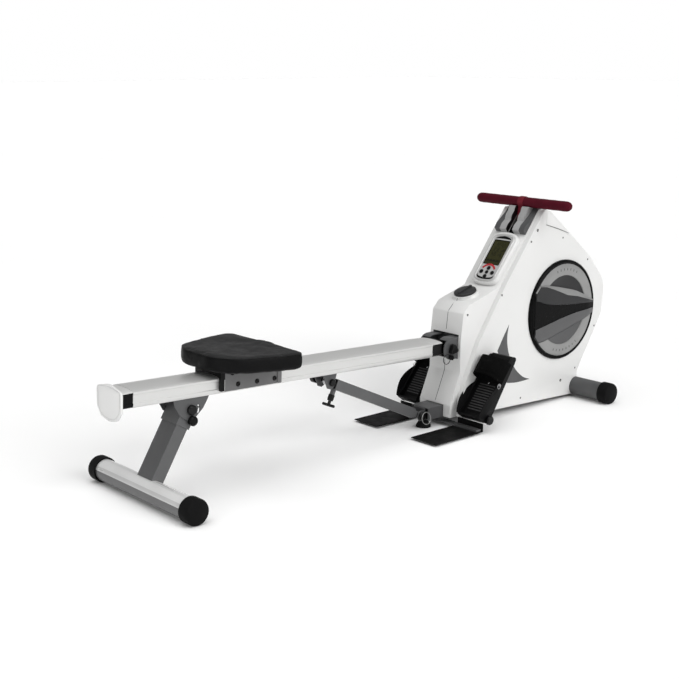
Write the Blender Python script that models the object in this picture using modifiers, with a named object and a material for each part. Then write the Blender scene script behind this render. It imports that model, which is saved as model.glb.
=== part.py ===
"""A folding home rowing machine with a magnetic flywheel brake.

Metres. +X runs from the seat to the flywheel, +Z is up, and the user's right side is at -Y.
The origin is on the floor under the middle of the machine's length.
"""

import math

import bmesh
import bpy
from mathutils import Matrix, Vector

for leftover in list(bpy.data.objects):
    bpy.data.objects.remove(leftover, do_unlink=True)

# Driving dimensions, all measured from a datum that stands a little ahead of the origin
DATUM_X = -0.0176
GAP = 0.0003  # clearance kept between touching pieces
SEAM = 0.00015  # half the gap between the two halves of the casing

STABILIZER_RADIUS = 0.0344
STABILIZER_WIDTH = 0.530
CAP_RADIUS = 0.0395
CAP_LENGTH = 0.0417
REAR_X = -0.938  # rear stabilizer's axis
FRONT_X = 0.937  # front stabilizer's axis

FRAME_HALF_WIDTH = 0.040
FRAME_LOW = 0.034
FRAME_HIGH = 0.076
FRAME_REAR = 0.190

RAIL_PIVOT = Vector((0.280, 0.0, 0.279))
RAIL_TILT = math.atan(0.038)  # the rail drops toward the flywheel
RAIL_HALF_WIDTH = 0.0545
RAIL_LOW = -0.0214  # rail heights are measured from the line through its pivot
RAIL_SHOULDER = 0.0236
RAIL_CROWN = 0.0316
RAIL_FRONT = -0.087
RAIL_REAR = -1.283
RAIL_WALL = 0.003

SEAT_X = -0.880  # middle of the carriage, along the rail from its pivot
CARRIAGE_HALF_LENGTH = 0.1035
ROLLER_RADIUS = 0.0085
ROLLER_SPACING = 0.068

LEG_PIVOT = Vector((-0.802, 0.0, 0.262))
LEG_LENGTH = 0.2608
LEG_LEAN = math.radians(31.42)

STRUT_TOP = Vector((-0.2395, 0.0, 0.2418))
STRUT_BASE = Vector((0.172, 0.0, 0.0505))

SHELL_HALF_WIDTH = 0.093
NOSE_HALF_WIDTH = 0.0735
SHELL_WALL = 0.003
CORNER = 0.013  # rounding of the casing's outer edges

FLYWHEEL_CENTRE = Vector((0.832, 0.0, 0.350))
FLYWHEEL_RADIUS = 0.150
DISC_RADIUS = 0.187
DRUM_CENTRE = Vector((0.600, 0.0, 0.235))
DRUM_RADIUS = 0.030
BIG_PULLEY_RADIUS = 0.075
SMALL_PULLEY_RADIUS = 0.020
BELT_Y = 0.0228
BELT_WIDTH = 0.010

SLOPE_FOOT = Vector((0.507, 0.0, 0.471))  # the console stands on this slope
SLOPE = math.atan2(0.266, 0.2105)
CONSOLE_CENTRE = Vector((0.560, 0.0, 0.560))
KNOB_CENTRE = Vector((0.412, 0.0, 0.4435))
KNOB_TILT = math.radians(17)
KNOB_RADIUS = 0.040

HANDLE_CENTRE = Vector((0.707, 0.0, 0.752))
HANDLE_RADIUS = 0.018
HANDLE_REACH = 0.201
GUIDE_CENTRE = Vector((0.672, 0.0, 0.648))  # roller that leads the strap out of the casing
GUIDE_RADIUS = 0.012
STRAP_THICKNESS = 0.0022
STRAP_TOP = Vector((0.694, 0.0, 0.737))

PEDAL_AXLE = Vector((0.320, 0.0, 0.046))
PEDAL_Y = 0.150
PEDAL_HALF_WIDTH = 0.052
PEDAL_RECLINE = math.radians(52)


def new_collection(name):
    made = bpy.data.collections.new(name)
    bpy.context.scene.collection.children.link(made)
    return made


PARTS = new_collection("rowing_machine")
CUTTERS = new_collection("cutters")
DATUM = bpy.data.objects.new("datum", None)
PARTS.objects.link(DATUM)
DATUM.location.x = DATUM_X


def new_material(name, colour, roughness, metallic=0.0):
    made = bpy.data.materials.new(name)
    made.use_nodes = True
    shader = made.node_tree.nodes["Principled BSDF"]
    shader.inputs["Base Color"].default_value = (*colour, 1)
    shader.inputs["Roughness"].default_value = roughness
    shader.inputs["Metallic"].default_value = metallic
    return made


WHITE = new_material("white_plastic", (0.80, 0.80, 0.79), 0.35)
GREY = new_material("grey_paint", (0.09, 0.09, 0.095), 0.45, 0.3)
ALUMINIUM = new_material("aluminium", (0.70, 0.70, 0.69), 0.35, 0.8)
SILVER = new_material("silver_plastic", (0.35, 0.35, 0.35), 0.40, 0.3)
STEEL = new_material("bright_steel", (0.55, 0.55, 0.56), 0.30, 1.0)
BLACK = new_material("black_plastic", (0.02, 0.02, 0.02), 0.45)
RUBBER = new_material("black_rubber", (0.015, 0.015, 0.015), 0.75)
VINYL = new_material("black_vinyl", (0.025, 0.025, 0.027), 0.50)
WEBBING = new_material("black_webbing", (0.02, 0.02, 0.02), 0.90)
RED = new_material("burgundy_foam", (0.10, 0.006, 0.02), 0.55)
GLASS = new_material("display_window", (0.08, 0.09, 0.03), 0.15)


# Shapes
def weld(mesh, distance=1e-6):
    work = bmesh.new()
    work.from_mesh(mesh)
    bmesh.ops.remove_doubles(work, verts=work.verts, dist=distance)
    bmesh.ops.recalc_face_normals(work, faces=work.faces)
    work.to_mesh(mesh)
    work.free()


def place(name, mesh, finish, body=None, location=(0, 0, 0), rotation=None, helper=False):
    """Put a mesh in the scene as a part, or as a helper for a Boolean."""
    item = bpy.data.objects.new(name, mesh)
    (CUTTERS if helper else PARTS).objects.link(item)
    item.parent = body or DATUM
    item.location = location
    if rotation is not None:
        item.rotation_euler = rotation
    if helper:
        item.hide_render = True
        item.display_type = "WIRE"
    else:
        mesh.materials.append(finish)
        mesh.shade_smooth()
        mesh.set_sharp_from_angle(angle=math.radians(35))
    return item


def pivot(name, location, rotation=(0, 0, 0), body=None):
    """An empty that stands on a joint, for the pieces that move on it."""
    empty = bpy.data.objects.new(name, None)
    PARTS.objects.link(empty)
    empty.parent = body or DATUM
    empty.location = location
    empty.rotation_euler = rotation
    return empty


def block(name, low, high, finish=None, body=None, bevel=0.0, helper=False):
    low = Vector(low)
    high = Vector(high)
    work = bmesh.new()
    bmesh.ops.create_cube(work, size=1)
    bmesh.ops.scale(work, vec=high - low, verts=work.verts)
    mesh = bpy.data.meshes.new(name)
    work.to_mesh(mesh)
    work.free()
    item = place(name, mesh, finish, body, (low + high) / 2, helper=helper)
    if bevel:
        round_edges(item, bevel)
    return item


def round_edges(item, width, segments=2, angle=40):
    edge = item.modifiers.new("rounded_edges", "BEVEL")
    edge.width = width
    edge.segments = segments
    edge.limit_method = "ANGLE"
    edge.angle_limit = math.radians(angle)


def rod(name, start, end, radius, finish=None, body=None, sides=24, helper=False):
    start = Vector(start)
    end = Vector(end)
    work = bmesh.new()
    bmesh.ops.create_cone(
        work, cap_ends=True, segments=sides, radius1=radius, radius2=radius, depth=(end - start).length
    )
    mesh = bpy.data.meshes.new(name)
    work.to_mesh(mesh)
    work.free()
    turn = (end - start).to_track_quat("Z", "Y").to_euler()
    return place(name, mesh, finish, body, (start + end) / 2, turn, helper)


def turned(name, profile, direction, finish=None, body=None, location=(0, 0, 0), sides=32, helper=False):
    """Turn a profile of (radius, height), listed from its top to its bottom, about a direction."""
    mesh = bpy.data.meshes.new(name)
    points = [(radius, 0, height) for radius, height in profile]
    on_axis = profile[0][0] == 0
    edges = [(index, index + 1) for index in range(len(points) - 1)]
    if not on_axis:
        edges.append((len(points) - 1, 0))
    mesh.from_pydata(points, edges, [])
    guide = bpy.data.objects.new(name, mesh)
    CUTTERS.objects.link(guide)
    screw = guide.modifiers.new("turn", "SCREW")
    screw.steps = sides
    screw.render_steps = sides
    screw.use_merge_vertices = True
    screw.merge_threshold = 1e-5
    solid = bpy.data.meshes.new_from_object(guide.evaluated_get(bpy.context.evaluated_depsgraph_get()))
    bpy.data.objects.remove(guide)
    weld(solid)
    turn = Vector(direction).to_track_quat("Z", "Y").to_euler()
    return place(name, solid, finish, body, location, turn, helper)


PLANES = {
    "XZ": Matrix.Rotation(math.pi / 2, 4, "X"),
    "YZ": Matrix(((0, 0, 1, 0), (1, 0, 0, 0), (0, 1, 0, 0), (0, 0, 0, 1))),
    "XY": Matrix.Identity(4),
}


def outline(name, loops, low, high, finish=None, body=None, plane="XZ", helper=False, location=(0, 0, 0)):
    """Extrude a flat outline, whose further loops are holes, between two positions across its plane."""
    curve = bpy.data.curves.new(name, "CURVE")
    curve.dimensions = "2D"
    curve.fill_mode = "BOTH"
    curve.extrude = (high - low) / 2
    for loop in loops:
        spline = curve.splines.new("POLY")
        spline.points.add(len(loop) - 1)
        for point, place_in_plane in zip(spline.points, loop):
            point.co = (*place_in_plane, 0, 1)
        spline.use_cyclic_u = True
    guide = bpy.data.objects.new(name, curve)
    CUTTERS.objects.link(guide)
    solid = bpy.data.meshes.new_from_object(guide.evaluated_get(bpy.context.evaluated_depsgraph_get()))
    bpy.data.objects.remove(guide)
    solid.transform(PLANES[plane])
    across = {"XZ": 1, "YZ": 0, "XY": 2}[plane]
    shift = Vector((0, 0, 0))
    shift[across] = (low + high) / 2
    solid.transform(Matrix.Translation(shift))
    weld(solid)
    return place(name, solid, finish, body, location, helper=helper)


def rounded(corners, steps=3):
    """Points of a loop given as (a, b, radius), with an arc at each corner whose radius isn't 0."""
    points = []
    count = len(corners)
    for index, (a, b, radius) in enumerate(corners):
        here = Vector((a, b))
        if radius == 0:
            points.append((a, b))
            continue
        before = (Vector(corners[index - 1][:2]) - here).normalized()
        after = (Vector(corners[(index + 1) % count][:2]) - here).normalized()
        half = before.angle(after) / 2
        reach = radius / math.tan(half)
        centre = here + (before + after).normalized() * (radius / math.sin(half))
        start = here + before * reach - centre
        sweep = (math.pi - 2 * half) * (1 if before.cross(after) < 0 else -1)
        for step in range(steps + 1):
            turn = Matrix.Rotation(sweep * step / steps, 2)
            points.append(tuple(centre + turn @ start))
    return points


def circle(a, b, radius, sides=16):
    turns = [2 * math.pi * index / sides for index in range(sides)]
    return [(a + radius * math.cos(turn), b + radius * math.sin(turn)) for turn in turns]


def arc(a, b, radius, start, end, steps):
    """Points on an arc, its angles in degrees."""
    turns = [math.radians(start + (end - start) * index / steps) for index in range(steps + 1)]
    return [(a + radius * math.cos(turn), b + radius * math.sin(turn)) for turn in turns]


def inset(loop, distance):
    """The loop moved inward by a distance. The loop runs anticlockwise."""
    moved = []
    for index, point in enumerate(loop):
        here = Vector(point)
        before = (here - Vector(loop[index - 1])).normalized()
        after = (Vector(loop[(index + 1) % len(loop)]) - here).normalized()
        normal = Vector((-before.y - after.y, before.x + after.x)).normalized()
        reach = distance / max(0.5, normal.dot(Vector((-after.y, after.x))))
        moved.append(tuple(here + normal * reach))
    return moved


def combine(item, other, operation):
    """Join a helper to a part or cut it from a part, at once, and remove the helper."""
    change = item.modifiers.new(operation.lower(), "BOOLEAN")
    change.operation = operation
    change.solver = "EXACT"
    change.object = other
    bpy.context.view_layer.update()
    result = bpy.data.meshes.new_from_object(item.evaluated_get(bpy.context.evaluated_depsgraph_get()))
    item.modifiers.clear()
    old = item.data
    item.data = result
    result.name = old.name
    bpy.data.meshes.remove(old)
    bpy.data.objects.remove(other)
    weld(result, 2e-6)
    result.shade_smooth()
    result.set_sharp_from_angle(angle=math.radians(35))
    return item


def join(item, other):
    return combine(item, other, "UNION")


def cut(item, other):
    return combine(item, other, "DIFFERENCE")


def sides():
    """The user's right side first: (name, sign of Y)."""
    return (("right", -1), ("left", 1))


# Frame and stabilizers
def stabilizer(name, body, centre):
    """A round cross tube with a cup-shaped cap on each end."""
    half = STABILIZER_WIDTH / 2
    cap_inner = half - CAP_LENGTH
    tube_end = half - 0.010
    x, z = centre
    ring = [circle(x, z, STABILIZER_RADIUS, 28), circle(x, z, STABILIZER_RADIUS - 0.002, 28)]
    outline(name, ring, -tube_end, tube_end, SILVER if body else GREY, body)
    bore = STABILIZER_RADIUS + GAP + 0.0002
    profile = [
        (0, half),
        (CAP_RADIUS - 0.007, half),
        (CAP_RADIUS - 0.002, half - 0.003),
        (CAP_RADIUS, half - 0.008),
        (CAP_RADIUS, cap_inner),
        (bore, cap_inner),
        (bore, tube_end + GAP),
        (0, tube_end + GAP),
    ]
    for side, sign in sides():
        cap_name = name.replace("stabilizer", "end_cap_") + side
        turned(cap_name, profile, (0, sign, 0), RUBBER, body, (x, 0, z), 28)


def saddle(item, centre, body=None):
    """Cut a frame tube to the round of the stabilizer that it is welded to."""
    x, z = centre
    reach = STABILIZER_WIDTH / 2
    cutter = rod("saddle", (x, -reach, z), (x, reach, z), STABILIZER_RADIUS + GAP, body=body, sides=28, helper=True)
    return cut(item, cutter)


def make_frame():
    floor_height = CAP_RADIUS
    tube = [
        [(-FRAME_HALF_WIDTH, FRAME_LOW), (FRAME_HALF_WIDTH, FRAME_LOW), (FRAME_HALF_WIDTH, FRAME_HIGH),
         (-FRAME_HALF_WIDTH, FRAME_HIGH)],
        [(-0.038, 0.036), (0.038, 0.036), (0.038, 0.074), (-0.038, 0.074)],
    ]
    frame = outline("main_frame", tube, FRAME_REAR, FRONT_X - 0.006, GREY, plane="YZ")
    join(frame, block("end_plate", (0.1850, -0.0260, 0.0355), (0.1915, 0.0260, 0.0745), helper=True))
    ear = arc(STRUT_BASE.x, STRUT_BASE.z, 0.019, 70, 270, 8) + [(0.186, 0.036), (0.186, 0.0695)]
    for _, sign in sides():
        low, high = sorted((sign * 0.0225, sign * 0.0265))
        join(frame, outline("ear", [ear], low, high, helper=True))
    join(frame, block("hinge_post", (0.3346, -0.030, 0.075), (0.3746, 0.030, 0.325), helper=True))
    mast = [(0.350, 0.075), (0.395, 0.075), (0.395, 0.262), (0.695, 0.637), (0.695, 0.664), (0.672, 0.664),
            (0.350, 0.262)]
    join(frame, outline("mast", [mast], -0.020, -0.017, helper=True))
    plate = rounded([(0.560, 0.075, 0), (0.940, 0.075, 0), (0.940, 0.215, 0.02), (0.862, 0.378, 0.03),
                     (0.810, 0.378, 0.03), (0.570, 0.268, 0.03)])
    window = rounded([(0.600, 0.095, 0.01), (0.780, 0.095, 0.01), (0.780, 0.250, 0.01), (0.640, 0.180, 0.01)])
    for _, sign in sides():
        low, high = sorted((sign * 0.0335, sign * 0.0375))
        join(frame, outline("axle_plate", [plate, window], low, high, helper=True))
    x, _, z = DRUM_CENTRE
    join(frame, rod("recoil_case", (x, -0.0345, z), (x, -0.0215, z), 0.026, sides=24, helper=True))
    join(frame, block("step_bar", (0.268, -0.195, 0.0104), (0.2925, 0.195, 0.0174), helper=True))
    join(frame, block("step_hanger", (0.268, -0.030, 0.0170), (0.2925, 0.030, 0.0350), helper=True))
    saddle(frame, (FRONT_X, floor_height))
    for centre in (FLYWHEEL_CENTRE, DRUM_CENTRE):
        x, _, z = centre
        cut(frame, rod("axle_hole", (x, -0.05, z), (x, 0.05, z), 0.0066, sides=12, helper=True))
    x, _, z = STRUT_BASE
    cut(frame, rod("bolt_hole", (x, -0.05, z), (x, 0.05, z), 0.0056, sides=12, helper=True))
    x, _, z = PEDAL_AXLE
    cut(frame, rod("axle_hole", (x, -0.05, z), (x, 0.05, z), 0.0086, sides=16, helper=True))
    x, _, z = magnet_pivot()
    cut(frame, rod("arm_hole", (x, -0.05, z), (x, 0.05, z), 0.0048, sides=10, helper=True))
    x, _, z = GUIDE_CENTRE
    cut(frame, rod("roller_hole", (x, -0.05, z), (x, 0.05, z), 0.0048, sides=10, helper=True))
    stabilizer("front_stabilizer", None, (FRONT_X, floor_height))
    foot = [(0, 0.0335), (0.014, 0.0335), (0.016, 0.026), (0.020, 0.016), (0.0265, 0.006), (0.0265, 0), (0, 0)]
    turned("levelling_foot", foot, (0, 0, 1), RUBBER, location=(0.208, 0, 0), sides=24)
    bolt("strut_pivot_bolt", STRUT_BASE, 0.0050, 0.0270, 0.0160, 0.009, BLACK)
    x, _, z = PEDAL_AXLE
    axle = [(0, 0.216), (0.013, 0.216), (0.0165, 0.212), (0.0165, 0.2045), (0.008, 0.2045), (0.008, -0.2045),
            (0.0165, -0.2045), (0.0165, -0.212), (0.013, -0.216), (0, -0.216)]
    turned("pedal_axle", axle, (0, 1, 0), BLACK, location=(x, 0, z), sides=20)
    step = [(0.064, 0.0072), (0.2962, 0.0072), (0.2962, 0.0365), (0.2930, 0.0365), (0.2930, 0.0100), (0.064, 0.0100)]
    for side, sign in sides():
        low, high = sorted((sign * 0.084, sign * 0.201))
        outline("step_plate_" + side, [step], low, high, BLACK)


def bolt(name, centre, radius, reach, head_radius, head, finish, body=None, sides_count=16):
    """A through bolt along Y with the same round cap on both ends."""
    profile = [(0, reach + head), (head_radius * 0.8, reach + head), (head_radius, reach + head * 0.7),
               (head_radius, reach + GAP), (radius, reach + GAP)]
    mirrored = [(r, -height) for r, height in reversed(profile)]
    return turned(name, profile + mirrored, (0, -1, 0), finish, body, centre, sides_count)


# Casing
def panel_loop():
    """Side view of the wide part of the casing, anticlockwise. Its foot is cut off later."""
    return rounded([
        (0.3005, -0.050, 0.0), (0.944, -0.050, 0.0), (0.944, 0.098, 0.02),
        (1.078, 0.305, 0.06), (1.090, 0.425, 0.09), (1.000, 0.528, 0.06), (0.862, 0.637, 0.2),
        (0.745, 0.727, 0.030), (0.7151, 0.727, 0.012), (0.5161, 0.4755, 0.03), (0.385, 0.290, 0.1),
        (0.318, 0.150, 0.05), (0.3005, 0.095, 0.0),
    ])


def nose_loop():
    """Side view of the narrow part of the casing, anticlockwise. Its foot is cut off later."""
    return rounded([
        (0.264, -0.070, 0.0), (0.420, -0.070, 0.0), (0.745, 0.600, 0.0), (0.745, 0.722, 0.0), (0.736, 0.730, 0.0),
        (0.7120, 0.730, 0.008), (0.507, 0.471, 0.0), (0.352, 0.426, 0.02), (0.323, 0.398, 0.012),
        (0.311, 0.300, 0.0), (0.311, 0.190, 0.03), (0.264, 0.080, 0.01),
    ])


def make_casing():
    panel = panel_loop()
    nose = nose_loop()
    boss = [(0, 0.011), (0.0425, 0.011), (0.0435, 0.008), (0.0500, -0.004), (0.0500, -0.008), (0, -0.008)]
    knob_axis = Vector((-math.sin(KNOB_TILT), 0, math.cos(KNOB_TILT)))
    for side, sign in sides():
        shell = outline("casing_" + side, [panel], -SHELL_HALF_WIDTH, SHELL_HALF_WIDTH, WHITE)
        round_edges(shell, CORNER, 2, 75)
        body = outline("nose", [nose], -NOSE_HALF_WIDTH, NOSE_HALF_WIDTH, helper=True)
        round_edges(body, CORNER, 2, 75)
        join(shell, body)
        join(shell, turned("boss", boss, knob_axis, location=KNOB_CENTRE, helper=True, sides=28))
        below = [(0, 0.034), (0, -0.2), (2, -0.2), (2, 0.010), (0.944, 0.010), (0.420, 0.032), (0.200, 0.034)]
        cut(shell, outline("below", [below], -0.2, 0.2, helper=True))
        low, high = sorted((-sign * 0.5, sign * SEAM))
        cut(shell, block("other_half", (-1, low, -1), (2, high, 2), helper=True))
        for loop, outer_half in ((panel, SHELL_HALF_WIDTH), (nose, NOSE_HALF_WIDTH)):
            half = outer_half - SHELL_WALL
            hollow = outline("inside", [inset(loop, SHELL_WALL)], -half, half, helper=True)
            round_edges(hollow, CORNER - SHELL_WALL, 2, 75)
            cut(shell, hollow)
        reach = STABILIZER_WIDTH / 2
        x, z = FRONT_X, CAP_RADIUS
        cut(shell, rod("tube_notch", (x, -reach, z), (x, reach, z), STABILIZER_RADIUS + 0.001, sides=32, helper=True))
        x, _, z = PEDAL_AXLE
        cut(shell, rod("axle_hole", (x, -0.2, z), (x, 0.2, z), 0.0100, sides=16, helper=True))
        cut(shell, block("hinge_window", (0.25, -0.0612, 0.2375), (0.34, 0.0612, 0.3235), helper=True))
        cut(shell, block("frame_mouth", (0.20, -0.0415, 0.02), (0.2970, 0.0415, 0.0775), helper=True))
        cut(shell, block("step_notch", (0.25, -0.10, 0.00), (0.2970, 0.10, 0.0355), helper=True))
        cut(shell, block("strap_slot", (0.640, -0.0145, 0.630), (0.700, 0.0145, 0.726), helper=True))
    for side, sign in sides():
        make_disc(side, sign)


def make_disc(side, sign):
    """The round cover over the flywheel, with its raised blade."""
    profile = [(0, 0.0080), (0.128, 0.0080), (0.131, 0.0115), (0.170, 0.0115), (0.176, 0.0085),
               (DISC_RADIUS, 0.0040), (DISC_RADIUS, GAP), (0.172, GAP), (0.126, 0.0040), (0, 0.0040)]
    x, _, z = FLYWHEEL_CENTRE
    face = sign * SHELL_HALF_WIDTH
    cover = turned("disc_cover_" + side, profile, (0, sign, 0), SILVER, location=(x, face, z), sides=36)
    blade = rounded([(0.703, 0.452, 0.01), (0.690, 0.350, 0.02), (0.706, 0.248, 0.01), (0.860, 0.275, 0.1),
                     (1.005, 0.318, 0.01), (1.008, 0.360, 0.01), (0.900, 0.418, 0.1), (0.780, 0.450, 0.1)], 3)
    low, high = sorted((face + sign * 0.005, face + sign * 0.0165))
    shape = outline("blade", [blade], low, high, helper=True)
    round_edges(shape, 0.004, 1)
    join(cover, shape)


# Drive
def magnet_pivot():
    return FLYWHEEL_CENTRE + Vector((0.0773, 0, -0.1412))


def belt_loop(grow):
    """The outside of two pulleys and the belt's straight runs between them, anticlockwise."""
    span = FLYWHEEL_CENTRE - DRUM_CENTRE
    heading = math.atan2(span.z, span.x)
    wrap = math.acos((BIG_PULLEY_RADIUS - SMALL_PULLEY_RADIUS) / span.length)
    big = arc(DRUM_CENTRE.x, DRUM_CENTRE.z, BIG_PULLEY_RADIUS + grow, math.degrees(heading + wrap),
              math.degrees(heading - wrap) + 360, 24)
    small = arc(FLYWHEEL_CENTRE.x, FLYWHEEL_CENTRE.z, SMALL_PULLEY_RADIUS + grow,
                math.degrees(heading - wrap), math.degrees(heading + wrap), 10)
    return big + small


def make_drive():
    bore = 0.0066
    flywheel = [(bore, 0.030), (0.023, 0.030), (0.023, BELT_Y + 0.0055), (SMALL_PULLEY_RADIUS, BELT_Y + 0.0055),
                (SMALL_PULLEY_RADIUS, 0.003), (0.118, 0.003), (0.118, 0.014), (FLYWHEEL_RADIUS, 0.014),
                (FLYWHEEL_RADIUS, -0.014), (0.118, -0.014), (0.118, -0.003), (0.020, -0.003), (0.020, -0.030),
                (bore, -0.030)]
    turned("flywheel", flywheel, (0, 1, 0), STEEL, location=FLYWHEEL_CENTRE, sides=28)
    axle = [(0, 0.046), (0.006, 0.046), (0.006, -0.046), (0, -0.046)]
    turned("flywheel_axle", axle, (0, 1, 0), STEEL, location=FLYWHEEL_CENTRE, sides=16)
    drum = [(0, 0.046), (0.006, 0.046), (0.006, 0.0125), (0.037, 0.0125), (0.037, 0.0105),
            (DRUM_RADIUS, 0.0105), (DRUM_RADIUS, -0.0165), (0.037, -0.0165), (0.037, -0.0185),
            (0.0062, -0.0185), (0.0062, -0.046), (0, -0.046)]
    turned("strap_drum", drum, (0, 1, 0), BLACK, location=DRUM_CENTRE, sides=24)
    pulley = [(bore, BELT_Y + 0.008), (0.016, BELT_Y + 0.008), (0.016, BELT_Y + 0.003), (0.062, BELT_Y + 0.003),
              (0.062, BELT_Y + 0.0055), (BIG_PULLEY_RADIUS, BELT_Y + 0.0055),
              (BIG_PULLEY_RADIUS, BELT_Y - 0.0055), (0.062, BELT_Y - 0.0055), (0.062, BELT_Y - 0.003),
              (0.016, BELT_Y - 0.003), (0.016, BELT_Y - 0.008), (bore, BELT_Y - 0.008)]
    turned("drive_pulley", pulley, (0, 1, 0), BLACK, location=DRUM_CENTRE, sides=24)
    outline("drive_belt", [belt_loop(0.0025), belt_loop(0.0006)], BELT_Y - BELT_WIDTH / 2,
            BELT_Y + BELT_WIDTH / 2, RUBBER)
    x, _, z = FLYWHEEL_CENTRE
    arm = arc(x, z, 0.1545, 226, 282, 8) + arc(x, z, 0.1665, 304, 226, 8)
    magnets = outline("magnet_arm", [arm], -0.017, 0.017, STEEL)
    pin = magnet_pivot()
    join(magnets, rod("arm_pin", pin + Vector((0, -0.046, 0)), pin + Vector((0, 0.046, 0)), 0.004, sides=16,
                      helper=True))
    roller = [(0, 0.0165), (0.0155, 0.0165), (0.0155, 0.0150), (GUIDE_RADIUS, 0.0150), (GUIDE_RADIUS, -0.0150),
              (0.0155, -0.0150), (0.0155, -0.0165), (0.004, -0.0165), (0.004, -0.026), (0, -0.026)]
    turned("strap_roller", roller, (0, 1, 0), BLACK, location=GUIDE_CENTRE, sides=16)


# Console, knob, handle
def on_slope(along, height):
    """A point (x, z) up the slope from its foot, and out from its surface."""
    x = SLOPE_FOOT.x + along * math.cos(SLOPE) - height * math.sin(SLOPE)
    z = SLOPE_FOOT.z + along * math.sin(SLOPE) + height * math.cos(SLOPE)
    return x, z


BUTTONS = {
    "button_up": (-0.0442, 0.000),
    "button_left": (-0.0615, 0.0255),
    "button_set": (-0.0615, 0.000),
    "button_right": (-0.0615, -0.0255),
    "button_down": (-0.0789, 0.000),
}


def make_console():
    face = pivot("console_face", CONSOLE_CENTRE, (0, -SLOPE, 0))
    rim = rounded([(-0.0915, -0.047, 0.01), (0.0925, -0.050, 0.01), (0.1025, 0, 0.15), (0.0925, 0.050, 0.01),
                   (-0.0915, 0.047, 0.01), (-0.0995, 0, 0.15)], 2)
    housing = outline("console_housing", [rim], -0.0133, 0.004, GREY, face, "XY")
    window = [(-0.027, -0.0345), (0.072, -0.0345), (0.072, 0.0345), (-0.027, 0.0345)]
    cut(housing, outline("window", [inset(window, -GAP)], -0.001, 0.1, body=face, plane="XY", helper=True))
    outline("console_screen", [window], -0.0010 + GAP, 0.0030, GLASS, face, "XY")
    for name, (s, y) in BUTTONS.items():
        radius = 0.0062 if name == "button_set" else 0.0072
        cut(housing, outline("well", [circle(s, y, radius + 0.0008, 12)], -0.004, 0.1, body=face, plane="XY",
                             helper=True))
        seat = pivot(name + "_guide", (s, y, 0), body=face)
        outline(name, [circle(0, 0, radius, 12)], -0.0020, 0.0062, BLACK, seat, "XY")
    knob_axis = Vector((-math.sin(KNOB_TILT), 0, math.cos(KNOB_TILT)))
    profile = [(0, 0.0215), (0.020, 0.0210), (0.036, 0.0200), (KNOB_RADIUS, 0.0175), (KNOB_RADIUS, 0.0118),
               (0, 0.0118)]
    knob = turned("tension_knob", profile, knob_axis, SILVER, location=KNOB_CENTRE, sides=32)
    grip = block("grip", (-0.0045, -0.034, 0.015), (0.0045, 0.034, 0.0255), helper=True)
    grip.data.transform(Matrix.Translation(grip.location))
    grip.location = KNOB_CENTRE
    grip.rotation_euler = knob.rotation_euler
    join(knob, grip)


def make_cradle_and_handle():
    seat = arc(HANDLE_CENTRE.x, HANDLE_CENTRE.z, HANDLE_RADIUS + 0.0008, 335, 241, 7)
    foot = [on_slope(0.2200, GAP), (0.7118, 0.7304), (0.7290, 0.7304)]
    prong = [(0.6903, 0.7378), (0.6845, 0.7380), (0.6790, 0.7300), (0.6760, 0.7200), (0.6640, 0.7060),
             (0.6600, 0.6930), (0.6620, 0.6760), (0.6430, 0.6710)]
    cradle = outline("handle_cradle", [foot + [(0.7285, 0.7430)] + seat + prong], -0.044, 0.044, GREY)
    low = [(0.7290, 0.7335), (0.7115, 0.7335), on_slope(0.3000, 0.0060), on_slope(0.2450, 0.0200),
           on_slope(0.2250, 0.0180)]
    join(cradle, outline("flank", [foot + low], -0.069, 0.069, helper=True))
    cut(cradle, block("strap_slot", (0.600, -0.0145, 0.600), (0.6985, 0.0145, 0.800), helper=True))
    bar = [(0, HANDLE_REACH + 0.018), (0.0125, HANDLE_REACH + 0.013), (HANDLE_RADIUS, HANDLE_REACH),
           (HANDLE_RADIUS, -HANDLE_REACH), (0.0125, -HANDLE_REACH - 0.013), (0, -HANDLE_REACH - 0.018)]
    turned("handle_bar", bar, (0, 1, 0), RED, location=HANDLE_CENTRE, sides=24)
    reach = STRAP_THICKNESS / 2 + GAP
    guide, top = tangent(GUIDE_CENTRE, GUIDE_RADIUS + reach, STRAP_TOP, 0)
    outline("strap_outer", [strip(top, guide.lerp(top, 0.19))], -0.012, 0.012, WEBBING)
    drum, guide = tangent(DRUM_CENTRE, DRUM_RADIUS + reach, GUIDE_CENTRE, GUIDE_RADIUS + reach)
    outline("strap_inner", [strip(guide, drum)], -0.012, 0.0095, WEBBING)


def tangent(low, low_radius, high, high_radius):
    """The ends (x, z) of the straight run between two circles, on their +X side."""
    span = high - low
    turn = math.atan2(span.z, span.x) - math.acos((low_radius - high_radius) / span.length)
    normal = Vector((math.cos(turn), math.sin(turn)))
    return Vector((low.x, low.z)) + normal * low_radius, Vector((high.x, high.z)) + normal * high_radius


def strip(start, end):
    """The edge view of a strap between two points."""
    heading = (end - start).normalized()
    across = Vector((-heading.y, heading.x)) * STRAP_THICKNESS / 2
    return [tuple(start + across), tuple(start - across), tuple(end - across), tuple(end + across)]


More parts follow.
